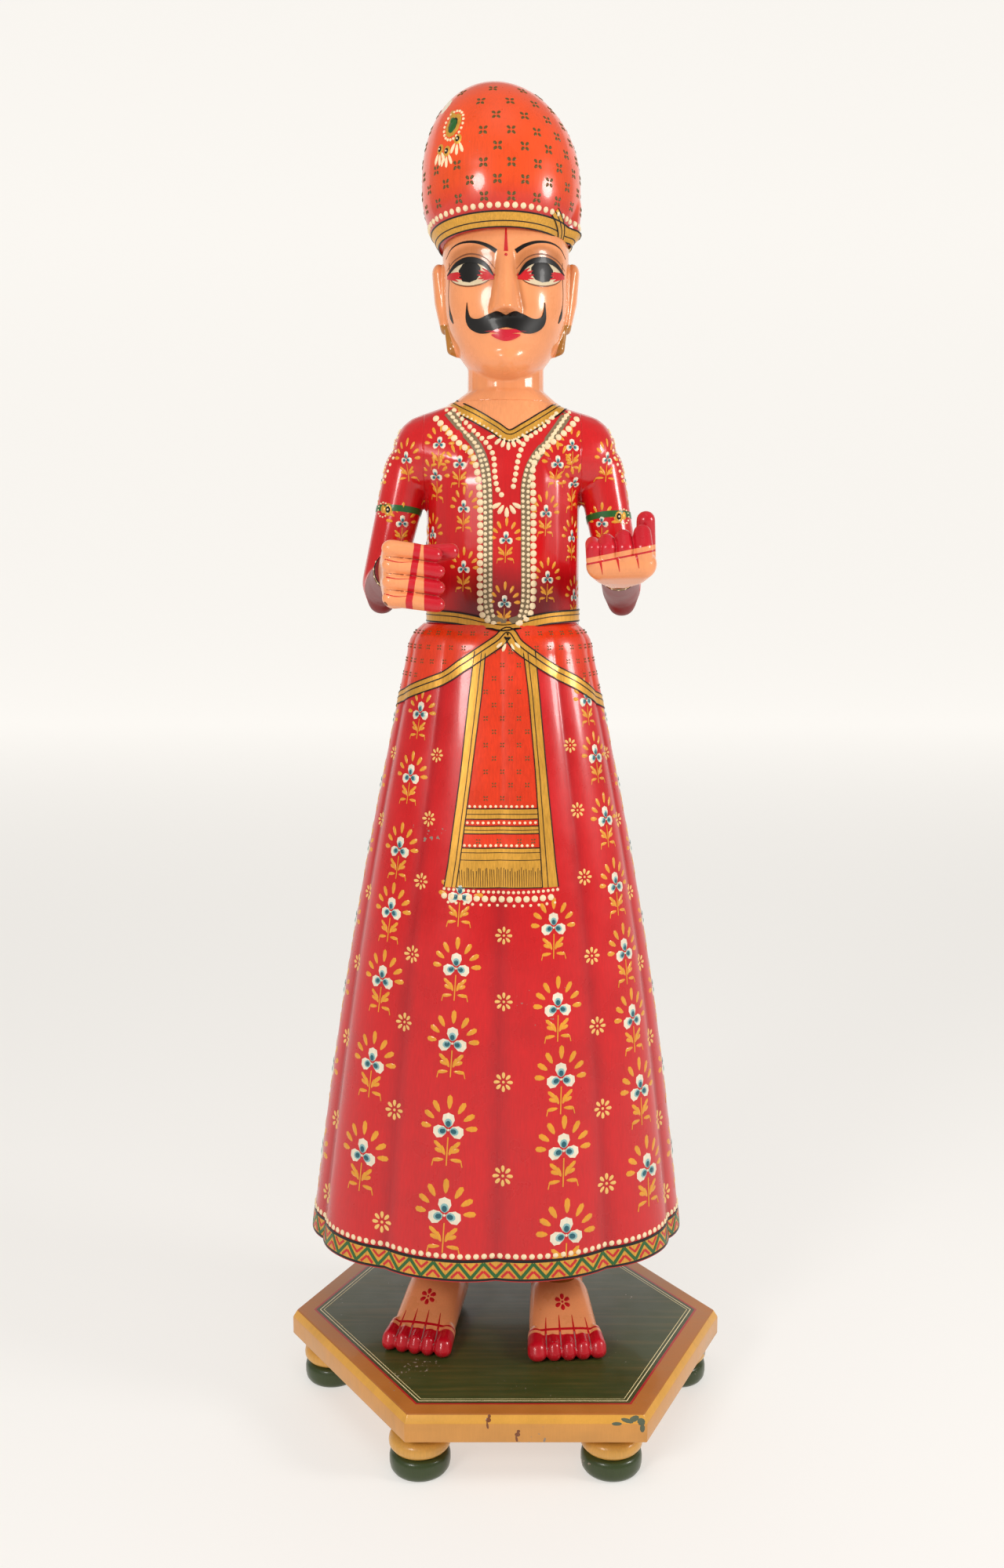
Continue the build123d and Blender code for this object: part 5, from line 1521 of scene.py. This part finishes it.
def paint_face():
    ahead = front(head_skin)
    whites, reds, black, brown_lines, lips = [], [], [], [], []
    for flip in (1, -1):
        lid, under, crease, brow, top, foot = ([(flip * u, v) for u, v in path] for path in (
            LID, UNDER_EYE, CREASE, BROW, MOUSTACHE_TOP, MOUSTACHE_FOOT))
        low, high = (under, lid) if flip == 1 else (lid, under)
        whites.append(ruled(ahead, low, high, 6, 8, lift=0.3))
        for corner, reach in ((0, 1), (-1, -1)):
            u0, v0 = lid[corner]
            for lean in range(-3, 4):
                u1 = u0 + flip * reach * (14.5 - abs(lean) * 0.8 - 2.5 * (lean % 2))
                v1 = v0 + 2.4 + lean * (1.75 if reach == 1 else 1.3) - (0 if reach == 1 else 5.5)
                v1 = min(v1, between([(10, 1029), (18, 1037), (30, 1041), (42, 1040), (50, 1034)], abs(u1)))
                v1 = max(v1, between([(10, 1030), (19, 1026), (32, 1025), (43, 1029), (50, 1036)], abs(u1)))
                reds.append(line(ahead, [(u0, v0), ((u0 + u1) / 2, (v0 + v1) / 2), (u1, v1)],
                                 lambda s: 4.4 - 3.9 * s, 3, lift=0.65))
        iris = mark("bead", 0, 0, 9.8, 8.8, 0, 0.4)
        black += scatter(iris, [flat_at(head_skin, ahead(flip * 30.6, 1035.0)[0], (0, -1, 0))], lift=0.45)
        lifted = [(u, v + 0.9) for u, v in lid]
        black.append(line(ahead, lifted, lambda s: 0.7 + 3.9 * max(0.0, math.sin(math.pi * s)) ** 0.6, 6,
                          lift=0.95))
        black.append(line(ahead, brow, lambda s: 3.6 - 3.2 * s, 5, lift=0.35))
        brown_lines.append(line(ahead, under, lambda s: 0.5 + 0.6 * math.sin(math.pi * s), 5, lift=0.5))
        brown_lines.append(line(ahead, crease, lambda s: 0.3 + 0.9 * math.sin(math.pi * s), 5, lift=0.3))
        low, high = (foot, top) if flip == 1 else (top, foot)
        black.append(ruled(ahead, low, high, 5, 6, lift=0.9))
        burn = around(head_skin, 0, 0)
        black.append(line(burn, [(flip * 62, 1046), (flip * 64, 1024), (flip * 64, 1003)], 0.6, 4, lift=0.35))
        black.append(line(burn, [(flip * 63.5, 1011), (flip * 63, 1003), (flip * 60, 996)],
                          lambda s: 0.6 + 4.2 * math.sin(math.pi * s * 0.85) ** 2, 5, lift=0.4))
    lips.append(line(ahead, [(-17.5, 985.4), (-9, 985.2), (0, 984.2), (9, 985.2), (17.5, 985.4)],
                     lambda s: 0.8 + 3.0 * math.sin(math.pi * s), 5, lift=0.9))
    lips.append(line(ahead, [(-12, 982.2), (-6, 980.6), (0, 979.8), (6, 980.6), (12, 982.2)],
                     lambda s: 0.8 + 5.2 * max(0.0, math.sin(math.pi * s)) ** 0.8, 5, lift=0.8))
    coat("eye_whites", whites, "skin_paint", white)
    coat("eye_corners", reds, "skin_paint", scarlet)
    coat("face_black", black, "skin_paint", ink)
    coat("face_brown_lines", brown_lines, "skin_paint", brown)
    coat("lips", lips, "skin_paint", rose)
    tilak = line(ahead, [(0, 1072), (0, 1064), (0, 1056), (0, 1049.4)], lambda s: 0.9 + 2.6 * s, 3, lift=0.35)
    coat("tilak", [tilak, *beads(ahead, [(0, 1046.4)], 1.3, 0.6)], "skin_paint", scarlet)


# ---- Hands and feet --------------------------------------------------------------------
def foot_place(skin, heel, splay):
    """Chart of the top of one foot: (across, along towards the heel), from straight above."""
    turn = Matrix.Rotation(math.radians(splay), 3, "Z")
    origin = Vector((*heel, 0)) * MM

    def place(u, v):
        spot = turn @ Vector((u * MM, v * MM, 0)) + origin
        return meet(skin, Vector((spot.x, spot.y, 0.135)), Vector((0, 0, -1)), 0.03)
    return place


def paint_hands_and_feet():
    palm = front(skin_of(right_hand))
    creases = [line(palm, path, lambda s: 1.1 - 0.8 * s, 4, lift=0.25) for path in (
        [(-99, 794), (-88, 791.6), (-76, 791.8)], [(-98, 779.5), (-88, 778), (-77, 778.2)],
        [(-100, 766), (-90, 763.8), (-80, 764.2)])]
    nails = front(skin_of(left_hand))
    for x in (77.9, 91.7, 107.4):
        level = 790 + (x - 70) * 0.18
        creases.append(line(nails, [(x - 1, level + 1), (x, level - 4), (x + 1.2, level - 10)],
                            lambda s: 2.3 - 1.9 * s, 4, lift=0.25))
    coat("hand_red_strokes", creases, "skin_paint", scarlet)
    # painted shadow: dark lines along the crevices between the fingers
    finger_shadows = [line(palm, [(-98, z), (-84, z - 1.2), (-70, z - 2.8), (-56, z - 5.0)], lambda s: 0.35 + 0.5 * s,
                  4, lift=0.25) for z in (769.3, 782.8, 796.3)]
    coat("hand_finger_painted_shadows", finger_shadows, "skin_paint", finger_shadow)
    chip = mark("bead", 0, 0, 2.2, 2.9, 40, 0.3)
    coat("hand_chip", scatter(chip, [flat_at(skin_of(right_hand), *palm(-99, 757.5))]), "skin_paint", brown)
    between_toes, grooves, petals = [], [], []
    for leg, (heel, splay) in ((right_leg, RIGHT_FOOT), (left_leg, LEFT_FOOT)):
        top = foot_place(skin_of(leg), heel, splay)
        flip, width = (1, 67) if leg == right_leg else (-1, 73)
        for across in (-0.30, -0.112, 0.072, 0.255):
            u = flip * across * width
            # painted shade down each groove between the toes
            grooves.append(line(top, [(u, -94), (u, -86), (u * 0.97, -77)], 1.1, 3, lift=0.3))
            between_toes.append(line(top, [(u, -80), (u * 0.95, -70), (u * 0.9, -62)],
                                     lambda s: 2.3 - 1.8 * s, 3, lift=0.25))
        rays = [ray(degrees, 4.9, 2.0, 2.9, 0.5) for degrees in range(0, 360, 60)]
        flower = join(rays + [mark("bead", 0, 0, 1.2, 1.2, 0, 0.5)], "rays")
        petals += scatter(flower, [lambda u, v: top(u, v - 50)])
    coat("toe_strokes", between_toes, "skin_paint", scarlet)
    coat("toe_grooves", grooves, "skin_paint", toe_groove_shade)
    coat("foot_flowers", petals, "skin_paint", scarlet)


def paint_plinth():
    """Knots and a chipped corner along the front of the board."""
    ahead = front(skin_of(plinth))
    knots = [mark("bead", 0, 0, 2.4, 2.0, 0, 0.3), mark("dab", -0.8, -4, 1.0, 3.4, 170, 0.3),
             mark("bead", 0.8, 3, 1.5, 1.5, 0, 0.3)]
    places = [flat_at(skin_of(plinth), *ahead(x, z)) for x, z in ((-15, 64.5), (10, 52))]
    coat("plinth_knots", scatter(join(knots, "knot"), places), "ochre_paint", brown)
    chips = [mark("bead", u, v, wide, tall, lean, 0.3) for u, v, wide, tall, lean in (
        (0, 0, 5.5, 1.8, 15), (6, 1.5, 4.5, 2.4, -20), (12, -1, 3.5, 3.2, 10), (-9, -2.5, 4.5, 1.5, 0),
        (13, -6, 2.2, 3.5, 0))]
    corner = flat_at(skin_of(plinth), *ahead(104, 64))
    coat("plinth_chip", scatter(join(chips, "chip"), [corner]), "ochre_paint", slate)


paint_waist()
paint_flowers()
paint_hem()
paint_plinth()
paint_bodice()
paint_sleeves()
paint_turban()
paint_face()
paint_hands_and_feet()
for master in MASTERS.values():
    bpy.data.objects.remove(master)

for node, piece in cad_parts.items():
    if node.endswith(("dowel", "peg")):
        piece.data.materials.clear()
        piece.data.materials.append(bare_wood)
    if node.endswith("screw"):
        piece.data.materials.clear()
        piece.data.materials.append(steel)
